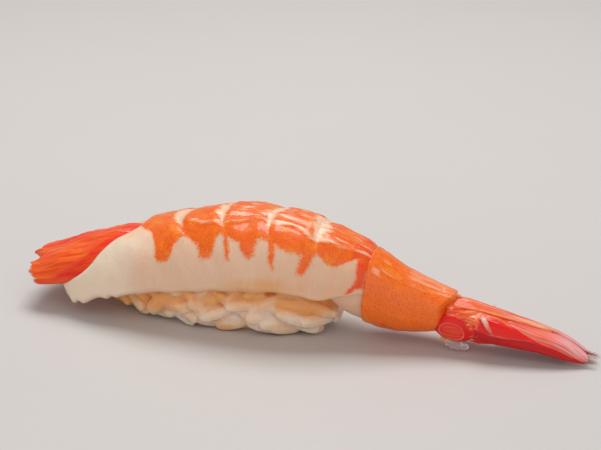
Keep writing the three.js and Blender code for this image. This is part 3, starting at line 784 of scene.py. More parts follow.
def arch_places(x, turn, depth, top, underside, lip, half_width, lip_thickness, thinning):
    """Places in an arched slab. Outside and underside are half ovals that share one level at the
    lips, and a lip is a half circle between them. Thinning draws all of it to the slab's middle."""
    angle = turn * np.pi / 2
    round_ = lip_thickness / 2
    level = lip + round_
    inset = round_ * (1 - np.cos(np.pi * depth))
    out_y = half_width * np.sin(angle)
    out_z = level + (top - level) * np.cos(angle)
    in_y = (half_width - lip_thickness) * np.sin(angle)
    in_z = level + (underside - level) * np.cos(angle)
    at_lip = np.abs(turn) > 0.9999
    lip_y = np.sign(turn) * (half_width - inset)
    lip_z = level - round_ * np.sin(np.pi * depth)
    y = np.where(at_lip, lip_y, np.where(depth > 0.5, in_y, out_y))
    z = np.where(at_lip, lip_z, np.where(depth > 0.5, in_z, out_z))
    middle_y = (out_y + in_y) / 2
    middle_z = (out_z + in_z) / 2
    return np.stack([x, blend(middle_y, y, thinning), blend(middle_z, z, thinning)], -1)


def lobe_front_x(turn):
    """Front edge of the white lobes. The far one differs a little from the near one."""
    side = np.abs(turn)
    return value_at(LOBE_EDGE, side) + np.where(turn > 0, 0.7 * np.sin(side * 9), 0)


def joint_distance(x, turn):
    """Distance along x from the nearest joint, which leans back with the square of the turn."""
    return np.min([np.abs(x - joint["x"] - joint["lean"] * turn**2) for joint in JOINTS], axis=0)


def joint_clearance(x, side):
    """Distance along x from the edge of the nearest joint's pale gap, which narrows down the side
    and then closes."""
    distances = []
    for joint in JOINTS:
        gap = blend(joint["gap"], -0.7, smooth_step(side, 0.05, joint["reach"]))
        distances.append(np.abs(x - joint["x"] - joint["lean"] * side**2) - gap)
    return np.min(distances, axis=0)


def band_distance(x, turn):
    """How far inside the orange a place is, in millimetres, and negative outside it. The bands are
    the back down to the reach, less a gap at each joint, and each tongue is a tapered bar."""
    side = np.abs(turn)
    x = x + np.where(turn > 0, 0.7 * np.sin(x * 0.4), 0)  # the far side differs a little
    reach = value_at(REACH, x) + np.where(turn > 0, 0.02 * np.sin(x * 0.9), 0)
    inside = soft_min((reach - side) * SIDE_LENGTH, joint_clearance(x, side), 0.8)
    for tongue in TONGUES:
        (root_x, root_turn), (tip_x, tip_turn) = tongue["root"], tongue["tip"]
        share = (side - root_turn) / (tip_turn - root_turn)
        centre = blend(root_x, tip_x, share)
        half = blend(*tongue["half_widths"], np.clip(share, 0, 1))
        bar = soft_min(half - np.abs(x - centre), (tip_turn - side) * SIDE_LENGTH, 1.2)
        bar = np.minimum(bar, (side - root_turn + 0.04) * SIDE_LENGTH)
        inside = soft_max(inside, bar, 0.5)
    return inside


def build_flesh(settings):
    """The opened body: an arched slab with joints across its back and two lobes at its neck."""
    turn, depth = slab_ring(190, 12, 60)
    along = np.linspace(0, 1, 250)[:, None] ** 1.15
    front = lobe_front_x(turn)
    x = blend(front, FLESH_END_X, along)
    turn, depth = np.broadcast_arrays(turn[None], depth[None], x)[:2]
    grid = arch_places(
        x, turn, depth,
        value_at(RIDGE_TOP, x), value_at(BELLY_TOP, x), value_at(LIP_BOTTOM, x),
        value_at(ARCH_HALF_WIDTH, x), value_at(LIP_THICKNESS, x), round_edge(x - front, FRONT_ROUNDING),
    )
    outer = np.where(depth == 0, 1.0, 0.0) * smooth_step(x - front, 0, 2.5)
    side = np.abs(turn)
    joint = joint_distance(x, turn)
    groove = bump(joint, 0, JOINT_HALF_WIDTH) * smooth_step(side, 0.62, 0.2)
    line = bump(side + 0.012 * np.sin(x * 0.9), value_at(BACK_LINE, x), 0.04) * smooth_step(x, -8, -5)
    strands = np.sin(turn * 46 + 1.5 * np.sin(x * 0.35))
    strands = strands * smooth_step(side, 0.34, 0.2) * smooth_step(x, -6, 4)
    inside = band_distance(x, turn)
    relief = (
        BACK_LINE_HEIGHT * line * (1 - groove)
        - JOINT_DEPTH * groove
        + 0.07 * strands
        + 0.12 * smooth_step(inside, -0.6, 1.0)
        + 0.22 * ripples(grid, 9, 3) + 0.07 * ripples(grid, 3, 5)
    )
    grid = lifted(grid, relief * outer * smooth_step(x, 30, 28.5))
    scallop = 0.28 * np.sin(x * 1.9 + np.sin(x * 0.7) * 1.5) * smooth_step(x, -16, -20)
    wave = 0.22 * np.sin(x * 0.8) * np.sin(x * 0.31 + 1)
    grid[..., 2] += scallop * smooth_step(side, 0.85, 1.0) + wave * smooth_step(side, 0.8, 1.0)
    # Where warm light from the rice is painted on the flesh: along the lips, most around the middle of the
    # body.
    lip = smooth_step(side, 0.76, 1.0) * (0.25 * smooth_step(x, -20, -10) + 0.75 * bump(x, 11.5, 7))
    crest = value_at(BACK_LINE, x)
    streaky = smooth_step(side, crest + 0.03, crest - 0.05) * smooth_step(x, 0, 4)
    red = smooth_step(x, 26, 27.5) * smooth_step(side, 0.0, 0.1)
    red = red + 0.5 * bump(x, 10, 6) * bump(side, 0.2, 0.06)
    make_loft(
        "boiled_flesh", grid, flesh_finish(settings), "flesh", ("shrimp_flesh",),
        band=np.where(depth > 0, -9, inside), along=x, around=turn * SIDE_LENGTH, streaky=streaky,
        # shine places the painted highlight along the back's ridges, and lip the painted warm light from the
        # rice.
        shine=line * value_at(BACK_PAINTED_SHINE, x), cream=smooth_step(x + 6 * side, 0, -19), lip=lip, red=red,
    )


def flap_front_x(turn):
    """Front edge of the flap: swept back at its corners, with one tear and a ragged line."""
    tear = FLAP_TEAR["depth"] * bump(turn, FLAP_TEAR["turn"], FLAP_TEAR["half_width"])
    ragged = 0.35 * np.sin(turn * 19) + 0.25 * np.sin(turn * 47 + 1) + 0.12 * np.sin(turn * 101)
    return FLAP_TIP_X + FLAP_SWEEP * turn * turn + tear + ragged


def build_flap(settings):
    """The red flap: a thinner arched slab with lengthwise strands, whose root lies in the flesh."""
    turn, depth = slab_ring(170, 10, 60)
    along = np.linspace(0, 1, 130)[:, None] ** 1.3
    front = flap_front_x(turn)
    x = blend(front, FLAP_ROOT_X, along)
    turn, depth = np.broadcast_arrays(turn[None], depth[None], x)[:2]
    top = value_at(FLAP_TOP, x)
    thickness = value_at(FLAP_THICKNESS, x)
    grid = arch_places(
        x, turn, depth, top, top - thickness, value_at(FLAP_BOTTOM, x),
        value_at(FLAP_HALF_WIDTH, x), thickness, round_edge(x - front, FLAP_ROUNDING),
    )
    outer = np.where(depth == 0, 1.0, 0.0) * smooth_step(x - front, 0, 2)
    side = np.abs(turn)
    strands = np.sin(turn * 38 + 2 * np.sin(x * 0.22)) + 0.6 * np.sin(turn * 81 + 3 * np.sin(x * 0.3 + 1))
    behind = lobe_front_x(turn) - x
    relief = 0.08 * strands + 0.26 * ripples(grid, 7, 11) + 0.1 * ripples(grid, 2.5, 12)
    grid = lifted(grid, (relief * smooth_step(behind, 0, 3) - 0.25 * smooth_step(behind, 2, -1)) * outer)
    # Crimson along the crest and at the lips, and painted shade where the white lobes stand over the flap.
    edge = np.maximum.reduce([
        smooth_step(side, 0.1, 0.03),
        0.85 * smooth_step(behind, 2.6, 0.0),
        0.7 * smooth_step(side, 0.9, 1.0),
    ])
    fray = smooth_step(x - front, 1.9, 0) * smooth_step(turn, -0.4, -0.8)
    fray = fray + smooth_step(x - front, 0.8, 0) * 0.5
    make_loft(
        "red_flap", grid, flap_finish(settings), "flesh", ("shrimp_flesh",),
        along=x, around=turn * SIDE_LENGTH, edge=edge, fray=fray,
    )


# ---------------------------------------------------------------- last segment and tail fan


def tube(path, radius, widest=0.3, steps=20, ring=16):
    """A grid for a tapered spike along a path of a few points: circles, widest at a share of it."""
    path = np.array(path, float)
    reached = np.concatenate([[0], np.cumsum(np.linalg.norm(np.diff(path, axis=0), axis=1))])
    share = (1 - np.cos(np.linspace(0, np.pi, steps))) / 2
    line = np.stack([np.interp(share * reached[-1], reached, path[:, i]) for i in range(3)], -1)
    way = np.gradient(line, axis=0)
    way /= np.maximum(np.linalg.norm(way, axis=1, keepdims=True), 1e-9)
    side = np.cross(way, [0.05, 0.02, 1])
    side /= np.linalg.norm(side, axis=1, keepdims=True)
    lift = np.cross(side, way)
    angle = ring_angles(ring)[..., None]
    from_widest = (share - widest) / np.where(share < widest, widest, 1 - widest)
    size = radius * np.sqrt(np.clip(1 - from_widest**2, 0, 1))
    circle = np.cos(angle) * side[:, None] + np.sin(angle) * lift[:, None]
    return line[:, None] + size[:, None, None] * circle


def build_segment(settings):
    """The last segment: an oval tube that narrows to a slanting rear edge, with a rim, a keel and a
    ridge on each side. The angle goes from the top down the near side."""
    along = np.linspace(0, 1, 170)[:, None] ** 1.3
    angle = np.linspace(-np.pi, np.pi, 160, endpoint=False)[None]
    along, angle = np.broadcast_arrays(along, angle)
    tilt = np.degrees(np.abs(angle))
    start_x = value_at(SHELL_EDGE_X, tilt)
    end_x = SEGMENT_END_X - SEGMENT_SLANT * smooth_step(tilt, 10, 75)
    x = blend(start_x, end_x, along)
    shell = x - start_x
    top, bottom = value_at(SEGMENT_TOP, x), value_at(SEGMENT_BOTTOM, x)
    closing = round_edge(1 - along, SEGMENT_CLOSING)
    keel = KEEL_HEIGHT * np.maximum(0, np.cos(angle)) ** 20 * np.sin(np.pi * along)
    rim = blend(SHELL_START, SHELL_RIM * smooth_step(shell, 6, 1), round_edge(shell, SHELL_ROUNDING))
    half_height = (top - bottom) / 2 + rim + keel
    grid = np.stack([
        blend(SEGMENT_POLE_X, x, closing),
        -(value_at(SEGMENT_HALF_WIDTH, x) + rim) * closing * np.sin(angle),
        (top + bottom) / 2 + half_height * closing * np.cos(angle),
    ], -1)
    ridge = bump(tilt, value_at(RIDGE_ANGLE, x), 4) * smooth_step(x, 30, 32) * smooth_step(x, 43.5, 40)
    hem = bump(tilt, value_at(HEM_ANGLE, x), 5) * smooth_step(x, 30.5, 33) * smooth_step(x, 43.5, 41.5)
    strands = np.sin(tilt * 0.42 + 1.5 * np.sin(x * 0.6)) * smooth_step(tilt, 34, 20)
    uneven = 0.14 * ripples(grid, 7, 21) + 0.05 * ripples(grid, 2.4, 22)
    grid = lifted(grid, (0.06 * ridge + 0.1 * hem + 0.05 * strands + uneven) * closing)
    # Painted highlight: rosy over the crest, and along the ridges.
    crest = smooth_step(tilt, 46, 18)
    dark_line = bump(angle, np.radians(value_at(DARK_LINE_ANGLE, x)), 0.05) * smooth_step(x, 31, 33)
    # Painted highlights: pale glossy patches near the front edge and on top.
    patch = 0.8 * bump(tilt, 42, 7) * bump(shell, 1.6, 1.2) + 0.5 * bump(tilt, 12, 8) * bump(x, 32, 2.5)
    gold = 0.8 * bump(tilt, 24, 12) * bump(x, 34, 4)
    gold = gold + 0.8 * bump(x, 29.8, 1.4) * smooth_step(tilt, 100, 125)
    finish = shell_finish(settings)
    make_loft(
        "tail_segment_shell", grid, finish, "shell", ("tail_segment",),
        along=x, around=angle * SEGMENT_RADIUS, patch=patch, gold=gold,
        red=np.maximum.reduce([
            0.75 * dark_line, 0.6 * smooth_step(shell, 0.8, 0) * smooth_step(tilt, 85, 70), 0.75 * hem,
            smooth_step(tilt, 150, 168), 0.35 * smooth_step(x - end_x, -1.6, -0.2),
        ]),
        # rosy: the painted highlight on the crest and ridges.
        rosy=np.maximum(crest * smooth_step(x, 34, 38) * 0.75, 0.6 * ridge),
    )
    # The tooth is painted fully rosy, as a highlight, with a little pale sheen.
    tooth = tube(**TOOTH)
    make_loft(
        "tail_tooth", tooth, finish, "shell",
        along=tooth[..., 0], around=tooth[..., 1], red=0.3, rosy=1.0, patch=0.3, gold=0.0,
    )


def blade_grid(blade, ridge=None, rows=120, ring=64):
    """A blade on the near side of the fan. Each ring is a thin oval that curves round the cone
    between the blade's two edges, with a rib along its middle, or along a line of [x, angle]."""
    start, end = blade["upper"][0][0], blade["upper"][-1][0]
    along = np.linspace(0, 1, rows)[:, None]
    round_ = ring_angles(ring)
    x = blend(start, end, along)
    wide, high = value_at(FAN_HALF_WIDTH, x), value_at(FAN_HALF_HEIGHT, x)
    size = 0.3 + 0.7 * high / value_at(FAN_HALF_HEIGHT, start)
    closing = np.sqrt(np.minimum(1, np.minimum((1 - along) / 0.08, along / 0.04)))
    across, outward = np.cos(round_), np.sin(round_)  # across is 1 at the lower edge
    angle = np.radians(blend(value_at(blade["upper"], x), value_at(blade["lower"], x), (across + 1) / 2))
    outside = outward > 0
    if ridge is None:
        line = bump(across, 0, 0.22)
    else:
        line = bump(np.degrees(angle), value_at(ridge, x), 4.5)
    rib = BLADE_RIB * line + 0.07 * bump(across, -0.5, 0.12) + 0.07 * bump(across, 0.45, 0.12)
    rib = np.where(outside, rib, 0) * size * closing
    half = BLADE_THICKNESS / 2 * size * closing
    thick = half * np.sign(outward) * np.sqrt(np.abs(outward))
    lift = thick + rib - half - value_at(blade["depth"], x)
    x = x + 0 * angle
    y = -(wide + lift) * np.sin(angle)
    z = value_at(FAN_AXIS_Z, x) + (high + lift) * np.cos(angle)
    around = angle * (wide + high) / 2
    return np.stack([x, y, z], -1), x, around, line, np.degrees(angle)


def on_side(side, grid, *values):
    """A near piece's grid and values as they are, or for the far side mirrored, with the rings
    turned round so that faces still point out."""
    if side < 0:
        return grid, *values
    return grid[:, ::-1] * [1, -1, 1], *(value[:, ::-1] for value in values)


def build_fan(settings):
    """The closed fan: the pointed spine, the root plates, the blades and their fringe of hairs."""
    orange = blade_finish("tail_spine", (0.88, 0.1, 0.015), (0.93, 0.2, 0.06), (0.95, 0.4, 0.25))
    inner = blade_finish("inner_blade", (0.84, 0.05, 0.02), (0.9, 0.2, 0.13), settings.blush)
    outer = blade_finish("outer_blade", settings.crimson, settings.scarlet, (0.92, 0.2, 0.06))
    joint = blade_finish("tail_joint", (0.55, 0.015, 0.01), settings.scarlet, (0.92, 0.15, 0.035))

    core = fan_core()
    folds = root_folds(core)
    core = lifted(core, CORE_FOLD * folds)
    above = core[..., 2] - value_at(FAN_AXIS_Z, core[..., 0])
    make_loft(
        "tail_joint_flesh", core, joint, "tail", along=core[..., 0], around=core[..., 2],
        rosy=blend(0.1, 0.55 + 0.45 * smooth_step(above, 0, 1.6), smooth_step(core[..., 0], 54, 51)),
        line=creases(core),
    )
    grid, x, around, _, angle = blade_grid(SPINE)
    # The pale streak along the top of the spine is a painted highlight.
    streak = bump(angle, value_at(SPINE_STREAK, x), 6)
    hem = bump(angle, value_at(SPINE["lower"], x) - 5, 3)
    make_loft(
        "tail_spine_shell", grid, orange, "tail", ("tail_spine",), along=x, around=around,
        rosy=0.3 + 0.6 * streak + 0.45 * hem + 0.35 * smooth_step(x, 55, 61), line=0.5 * hem,
    )

    for side, label in ((-1, "near"), (1, "far")):
        grid, x, around, rib, angle = on_side(side, *blade_grid(INNER_BLADE))
        thin = 0.5 + 0.5 * smooth_step(x, 60, 68.5) - 0.25 * smooth_step(angle, 50, 80)
        make_loft(
            f"inner_blade_{label}_shell", grid, inner, "tail", (f"inner_blade_{label}",),
            along=x, around=around, rosy=thin, line=0.5 * rib * smooth_step(x, 66, 60),
        )
        grid, x, around, rib, angle = on_side(side, *blade_grid(OUTER_BLADE, OUTER_RIDGE))
        folds = root_folds(grid)
        grid = lifted(grid, BLADE_FOLD * folds * smooth_step(angle, 100, 80))
        # Below the rib the blade turns deep crimson: partly its own deeper red, and partly painted shade on
        # its lower, downward face.
        above = smooth_step(angle - value_at(OUTER_RIDGE, x), 4, -4)
        below = angle - value_at(OUTER_BLADE["upper"], x)
        orange_top = smooth_step(below, 26, 6) * smooth_step(x, 59, 55)
        orange_root = smooth_step(angle, 82, 60) * smooth_step(x, 52, 50)
        tone = np.maximum.reduce([0.5 * above, orange_top, orange_root]) + 0.12 * smooth_step(x, 60, 67)
        # Pale lines: a painted highlight along the rib and on the folds at the root, and pale bands near the
        # upper edge.
        light = np.maximum.reduce([
            0.6 * rib * smooth_step(x, 50, 53) * smooth_step(x, 66, 58), creases(grid),
            0.35 * bump(below, 3, 3) * smooth_step(x, 54, 58), 0.6 * bump(below, 15, 3) * bump(x, 53, 3),
        ])
        make_loft(
            f"outer_blade_{label}_shell", grid, outer, "tail", (f"outer_blade_{label}",),
            along=x, around=around, rosy=tone, line=light,
        )
        grid, away = on_side(side, *root_grid())
        make_loft(
            f"tail_root_{label}_shell", grid, outer, "tail", (f"tail_root_{label}",),
            along=grid[..., 0], around=grid[..., 2], rosy=blend(0.45, 0.7, smooth_step(away, 0.8, 0.4)),
            line=0.65 * bump(away, *ROOT_RING),
        )
    build_spurs()
    build_hairs(settings)


def crinkles(points):
    """Unevenness of the skin at the root of the fan, drawn out along it."""
    return ripples(points * [0.7, 0.5, 1.6], 1.9, 41)


def root_folds(points):
    """Height of the crinkled folds over the root of the fan, from -1 to 1, which fade to the rear."""
    return crinkles(points) * smooth_step(points[..., 0], 53, 49)


def creases(points):
    """Thin pale lines along the flanks of those folds, painted as their highlights."""
    folds = crinkles(points)
    return (bump(folds, 0.25, 0.17) + 0.8 * bump(folds, -0.5, 0.13)) * smooth_step(points[..., 0], 52, 49.5)


def fan_core():
    """The middle of the fan, which closes it between the blades: the cone, wider in the segment's
    rear end and smaller to the rear."""
    along = np.linspace(0, 1, 40)[:, None]
    angle = ring_angles(40)
    x = blend(*FAN_CORE["ends"], along)
    size = blend(FAN_CORE["front"], FAN_CORE["rear"], smooth_step(x, 50, 56))
    size = size + FAN_CORE["collar"] * smooth_step(x, 46.5, 44)
    size = size * round_edge(1 - along, 0.2) * round_edge(along, 0.05)
    y = value_at(FAN_HALF_WIDTH, x) * size * np.cos(angle)
    z = value_at(FAN_AXIS_Z, x) + value_at(FAN_HALF_HEIGHT, x) * size * np.sin(angle)
    return np.stack([x + 0 * angle, y, z], -1)


def root_grid():
    """The near root plate: a tilted oval lobe with a faint ring on its outer face. Also the distance
    of each place from the middle of that face, uneven all round and past 1 on the inner face."""
    polar = np.linspace(0, np.pi, 60)[:, None]
    angle = np.linspace(0, 2 * np.pi, 72, endpoint=False)[None]
    rise, out = np.sin(polar) * np.sin(angle), np.sin(polar) * np.cos(angle)
    unit = np.stack([-np.cos(polar) + 0 * angle, -out, rise], -1)
    length_, width, height = ROOT_PLATE["size"]
    uneven = 1 + 0.1 * np.sin(2 * angle + 1) + 0.06 * np.sin(3 * angle)
    away = np.where(unit[..., 1] < 0, np.hypot(unit[..., 0], unit[..., 2]) * uneven, 2)
    grid = unit * [length_ / 2, width / 2, height / 2] * (1 + 0.03 * bump(away, *ROOT_RING))[..., None]
    return pitched(grid, ROOT_PLATE["pitch"]) + ROOT_PLATE["at"], away


def cone_place(x, angle, lift=0.0):
    """A place on the fan's cone on the near side, by x and the angle from the top in degrees."""
    turn = np.radians(angle)
    y = -(value_at(FAN_HALF_WIDTH, x) + lift) * np.sin(turn)
    z = value_at(FAN_AXIS_Z, x) + (value_at(FAN_HALF_HEIGHT, x) + lift) * np.cos(turn)
    return np.stack([x + 0 * turn, y, z], -1)


def build_spurs():
    """A spur that follows the cone across the root of the blades on each side: a small ridge,
    painted pale as its highlight.
    """
    finish = blade_finish("pale_spur", (0.9, 0.16, 0.1), (0.94, 0.4, 0.32), (0.96, 0.66, 0.58))
    x, angle = np.array(SPUR["path"], float).T
    for side, label, drop in ((-1, "near", 0), (1, "far", SPUR_FAR_DROP)):
        path = cone_place(x, angle + drop, SPUR["lift"])
        (grid,) = on_side(side, tube(path, SPUR["radius"], SPUR_WIDEST))
        make_loft(
            f"spur_{label}", grid, finish, "tail", along=grid[..., 0], around=grid[..., 2],
            rosy=smooth_step(grid[..., 0], x[-1], x[0]), line=0,
        )


def build_hairs(settings):
    """The fringe of fine hairs at the blades' tips: three-sided spikes that fan out to the rear."""
    rng = np.random.default_rng(5)
    parts = []
    for group in HAIRS:
        count = group["count"]
        for side in (-1, 1):
            angle = rng.uniform(*group["angles"], count)
            x = rng.uniform(*group["along"], count)
            start = cone_place(x, angle, -HAIR_SINK) * [1, -side, 1]
            reach = rng.uniform(0.4, 1.0, count) * settings.hair_length / MM
            sideways = side * 0.25 * np.sin(np.radians(angle))
            way = np.stack([np.ones(count), sideways, rng.uniform(-0.3, 0.05, count)], -1)
            end = start + way * reach[:, None]
            end[:, 2] = np.maximum(end[:, 2], HAIR_LOWEST["tip"])
            start[:, 2] = np.maximum(start[:, 2], HAIR_LOWEST["root"])
            for ends in zip(start, end):
                grid = tube(ends, HAIR_RADIUS, steps=5, ring=3)
                parts.append((with_ends(grid), loft_faces(*grid.shape[:2]), {}))
    points, faces, _ = joined(parts)
    make_piece("tail_hairs", points, faces, plain_finish("tail_hairs", settings.hair, 1.0, 0.5), "tail")


def build_membrane(settings):
    """The shred of clear skin under the tail's root: a thin sheet with two waves, narrower to the
    rear."""
    along = np.linspace(0, 1, 40)[:, None]
    round_ = ring_angles(40)
    ragged = 1 + 0.12 * np.sin(along * 31) + 0.08 * np.sin(along * 57)
    x = SHRED["length"] * (along - 0.5) + 0 * round_
    closing = round_edge(along, 0.35) * round_edge(1 - along, 0.1)
    y = SHRED["thickness"] / 2 * np.sin(round_) * closing + SHRED["wave"] * np.sin(along * 7)
    half_depth = SHRED["depth"] / 2 * (1 - 0.6 * along**2) * ragged * closing
    z = half_depth * np.cos(round_) - 0.25 * np.sin(along * 5)
    grid = pitched(np.stack([x, y + 0 * z, z], -1), SHRED["pitch"]) + SHRED["at"]
    root = smooth_step(along, 0.4, 0.1) + 0 * round_
    edge = smooth_step(np.abs(np.cos(round_)), 0.82, 1.0) + smooth_step(along, 0.85, 1.0)
    finish = membrane_finish(settings)
    make_loft("clear_shred", grid, finish, "membrane", ("membrane_shred",), root=root, edge=edge)


# ---------------------------------------------------------------- rice


def bed_share(height):
    """Size of the bed's outline at a height beside its widest: a quarter circle each way."""
    reach = np.where(height < RICE_WAIST_Z, RICE_TUCK, RICE_TOP_Z - RICE_WAIST_Z)
    return np.sqrt(np.maximum(0, 1 - ((height - RICE_WAIST_Z) / reach) ** 2))


def bed_place(angle, share):
    """The bed's outline: an oval squared off by a power of its sine and cosine."""
    exponent = 2 / RICE_SQUARENESS
    cosine, sine = np.cos(angle), np.sin(angle)
    x = RICE_MIDDLE_X + RICE_HALF_LENGTH * share * np.sign(cosine) * np.abs(cosine) ** exponent
    y = RICE_HALF_WIDTH * share * np.sign(sine) * np.abs(sine) ** exponent
    return x, y


def bed_depth(points):
    """How far inside the bed's outline a place is, in millimetres."""
    share = np.maximum(bed_share(points[..., 2]), 0.05)
    x = np.abs(points[..., 0] - RICE_MIDDLE_X) / (RICE_HALF_LENGTH * share)
    y = np.abs(points[..., 1]) / (RICE_HALF_WIDTH * share)
    away = (x**RICE_SQUARENESS + y**RICE_SQUARENESS) ** (1 / RICE_SQUARENESS)
    return (1 - away) * RICE_HALF_WIDTH


def build_rice(settings):
    """The bed: grains pressed over a core that fills the room between them, all in one skin."""
    middles, frames, tones = grain_places(settings)
    template, template_faces = grain_shape()
    points, faces = copies(template, template_faces, frames, middles)
    points += 0.1 * ripples(points, 1.6, 33)[:, None] * [1, 1, 0]
    core = rice_core(middles, frames)
    heap, heap_faces, _ = joined([(points, faces, {}), (with_ends(core), loft_faces(*core.shape[:2]), {})])
    skin, skin_faces = one_skin(heap, heap_faces, RICE_VOXEL)
    skin[:, 2] = np.maximum(skin[:, 2], 0)
    make_piece(
        "rice_grains", skin, skin_faces, rice_finish(settings, "cooked_rice"), "rice", ("rice_bed",),
        # The amber painted light lies deep in the bed and near the flesh.
        inward=bed_depth(skin), glow=rice_glow(skin), tone=tone_at(skin, middles, frames, tones),
    )


def one_skin(points, faces, quad_size):
    """The outer skin of closed shapes that overlap, in even quads, with its creases softened. The
    work is done with a millimetre as the unit."""
    mesh = bpy.data.meshes.new("heap")
    mesh.from_pydata(points, [], faces)
    heap = bpy.data.objects.new("heap", mesh)
    bpy.context.scene.collection.objects.link(heap)
    remesh = heap.modifiers.new("skin", "REMESH")
    remesh.mode = "VOXEL"
    remesh.voxel_size = quad_size
    soften = heap.modifiers.new("soften", "SMOOTH")
    soften.iterations = SKIN_SMOOTHING
    skin = bpy.data.meshes.new_from_object(heap.evaluated_get(bpy.context.evaluated_depsgraph_get()))
    places = np.empty(len(skin.vertices) * 3)
    skin.vertices.foreach_get("co", places)
    skin_faces = [list(face.vertices) for face in skin.polygons]
    bpy.data.objects.remove(heap)
    for used in (mesh, skin):
        bpy.data.meshes.remove(used)
    return places.reshape(-1, 3), skin_faces


def tone_at(points, middles, frames, tones):
    """The tone of the grain at each point. Three places along each grain carry its tone, and the
    nearest few count by e to minus their distance over the tone's reach."""
    shares = np.array([-0.3, 0, 0.3])
    places = middles[:, None] + shares[:, None] * frames[:, None, :, 0]
    tree = KDTree(places.size // 3)
    for n, place in enumerate(places.reshape(-1, 3)):
        tree.insert(place, n)
    tree.balance()
    found = np.array([[(n // 3, away) for _, n, away in tree.find_n(point, 5)] for point in points])
    weight = np.exp((found[..., 1].min(1, keepdims=True) - found[..., 1]) / TONE_REACH)
    return (tones[found[..., 0].astype(int)] * weight).sum(1) / weight.sum(1)


def rice_core(middles, frames):
    """The pressed middle of the bed. Its sides rise part of the way up the grains, as one skin: the
    height over each place is a soft maximum of the heights at which a line outward leaves them."""
    level = np.linspace(-0.7, 0.999, 100)[:, None]
    reach = np.where(level < 0, RICE_TUCK, RICE_TOP_Z - RICE_WAIST_Z)
    height = np.maximum(RICE_WAIST_Z + level * reach, 0.02)
    angle = np.linspace(0, 2 * np.pi, 460, endpoint=False)[None]
    x, y = bed_place(angle, bed_share(height) * CORE_SHARE)
    grid = np.stack([x, y, height + 0 * angle], -1)
    shrink = np.clip((under_flesh(grid) - 0.5) / np.maximum(grid[..., 2], 1), 0, 1)
    grid[..., 2] *= np.where(grid[..., 2] > RICE_WAIST_Z, shrink, 1)
    outward = normals_of(grid)
    total = np.ones(grid.shape[:2])
    for middle, frame_ in zip(middles, frames):
        back = np.linalg.inv(frame_).T
        start, way = (grid - middle) @ back, outward @ back
        a, b = (way * way).sum(-1), (start * way).sum(-1)
        c = (start * start).sum(-1) - CORE_GRAIN
        root = np.sqrt(np.maximum(b * b - a * c, 0))
        exit_height = np.where((root > 0) & (root > b), np.minimum((root - b) / a, 3), -3)
        total += np.exp(exit_height / CORE_SOFTNESS)
    relief = np.clip(np.log(total) * CORE_SOFTNESS - CORE_SINK, 0, 2.5)
    for _ in range(2):
        relief = (relief + np.roll(relief, 1, 1) + np.roll(relief, -1, 1)) / 3
        relief[1:-1] = (relief[1:-1] + relief[2:] + relief[:-2]) / 3
    room = smooth_step(under_flesh(grid) - grid[..., 2], 0.2, 1.5) * smooth_step(grid[..., 2], 0, 0.6)
    return lifted(grid, relief * room)


def rice_glow(points):
    """How much amber light is painted on the rice, as the shrimp's orange reflected on it: from 0 well
    under the flesh's lip to 1 at the lip, and more at the end under the neck."""
    x, z = points[..., 0], points[..., 2]
    near_flesh = smooth_step(z - value_at(LIP_BOTTOM, x), -8, -1)
    return near_flesh * blend(0.85, 1.15, smooth_step(x, -8, 4)) + 0.6 * smooth_step(x, -14, -20)


def under_flesh(points):
    """Height of the underside of the flesh over each place, and far up where there is none."""
    x, y = points[..., 0], points[..., 1]
    round_ = value_at(LIP_THICKNESS, x) / 2
    level = value_at(LIP_BOTTOM, x) + round_
    inner = value_at(ARCH_HALF_WIDTH, x) - 2 * round_
    cosine = np.sqrt(np.clip(1 - (y / inner) ** 2, 0, 1))
    return level + (value_at(BELLY_TOP, x) - level) * cosine


def grain_shape(steps=12, ring=8):
    """A plump grain along X, one unit long: an oval that is blunter at one end and bent a little."""
    along = np.linspace(0, np.pi, steps + 1)[1:-1, None]
    angle = ring_angles(ring)
    x = -np.cos(along) / 2
    girth = np.sin(along) ** 0.65 / 2 * (1 - 0.15 * x)
    y = girth * np.cos(angle) + 0.09 * (4 * x**2)
    z = girth * np.sin(angle)
    grid = np.stack([x + 0 * angle, y, z], -1)
    points = with_ends(grid)
    points[-2:, 0] = [-0.5, 0.5]
    return points, loft_faces(*grid.shape[:2])


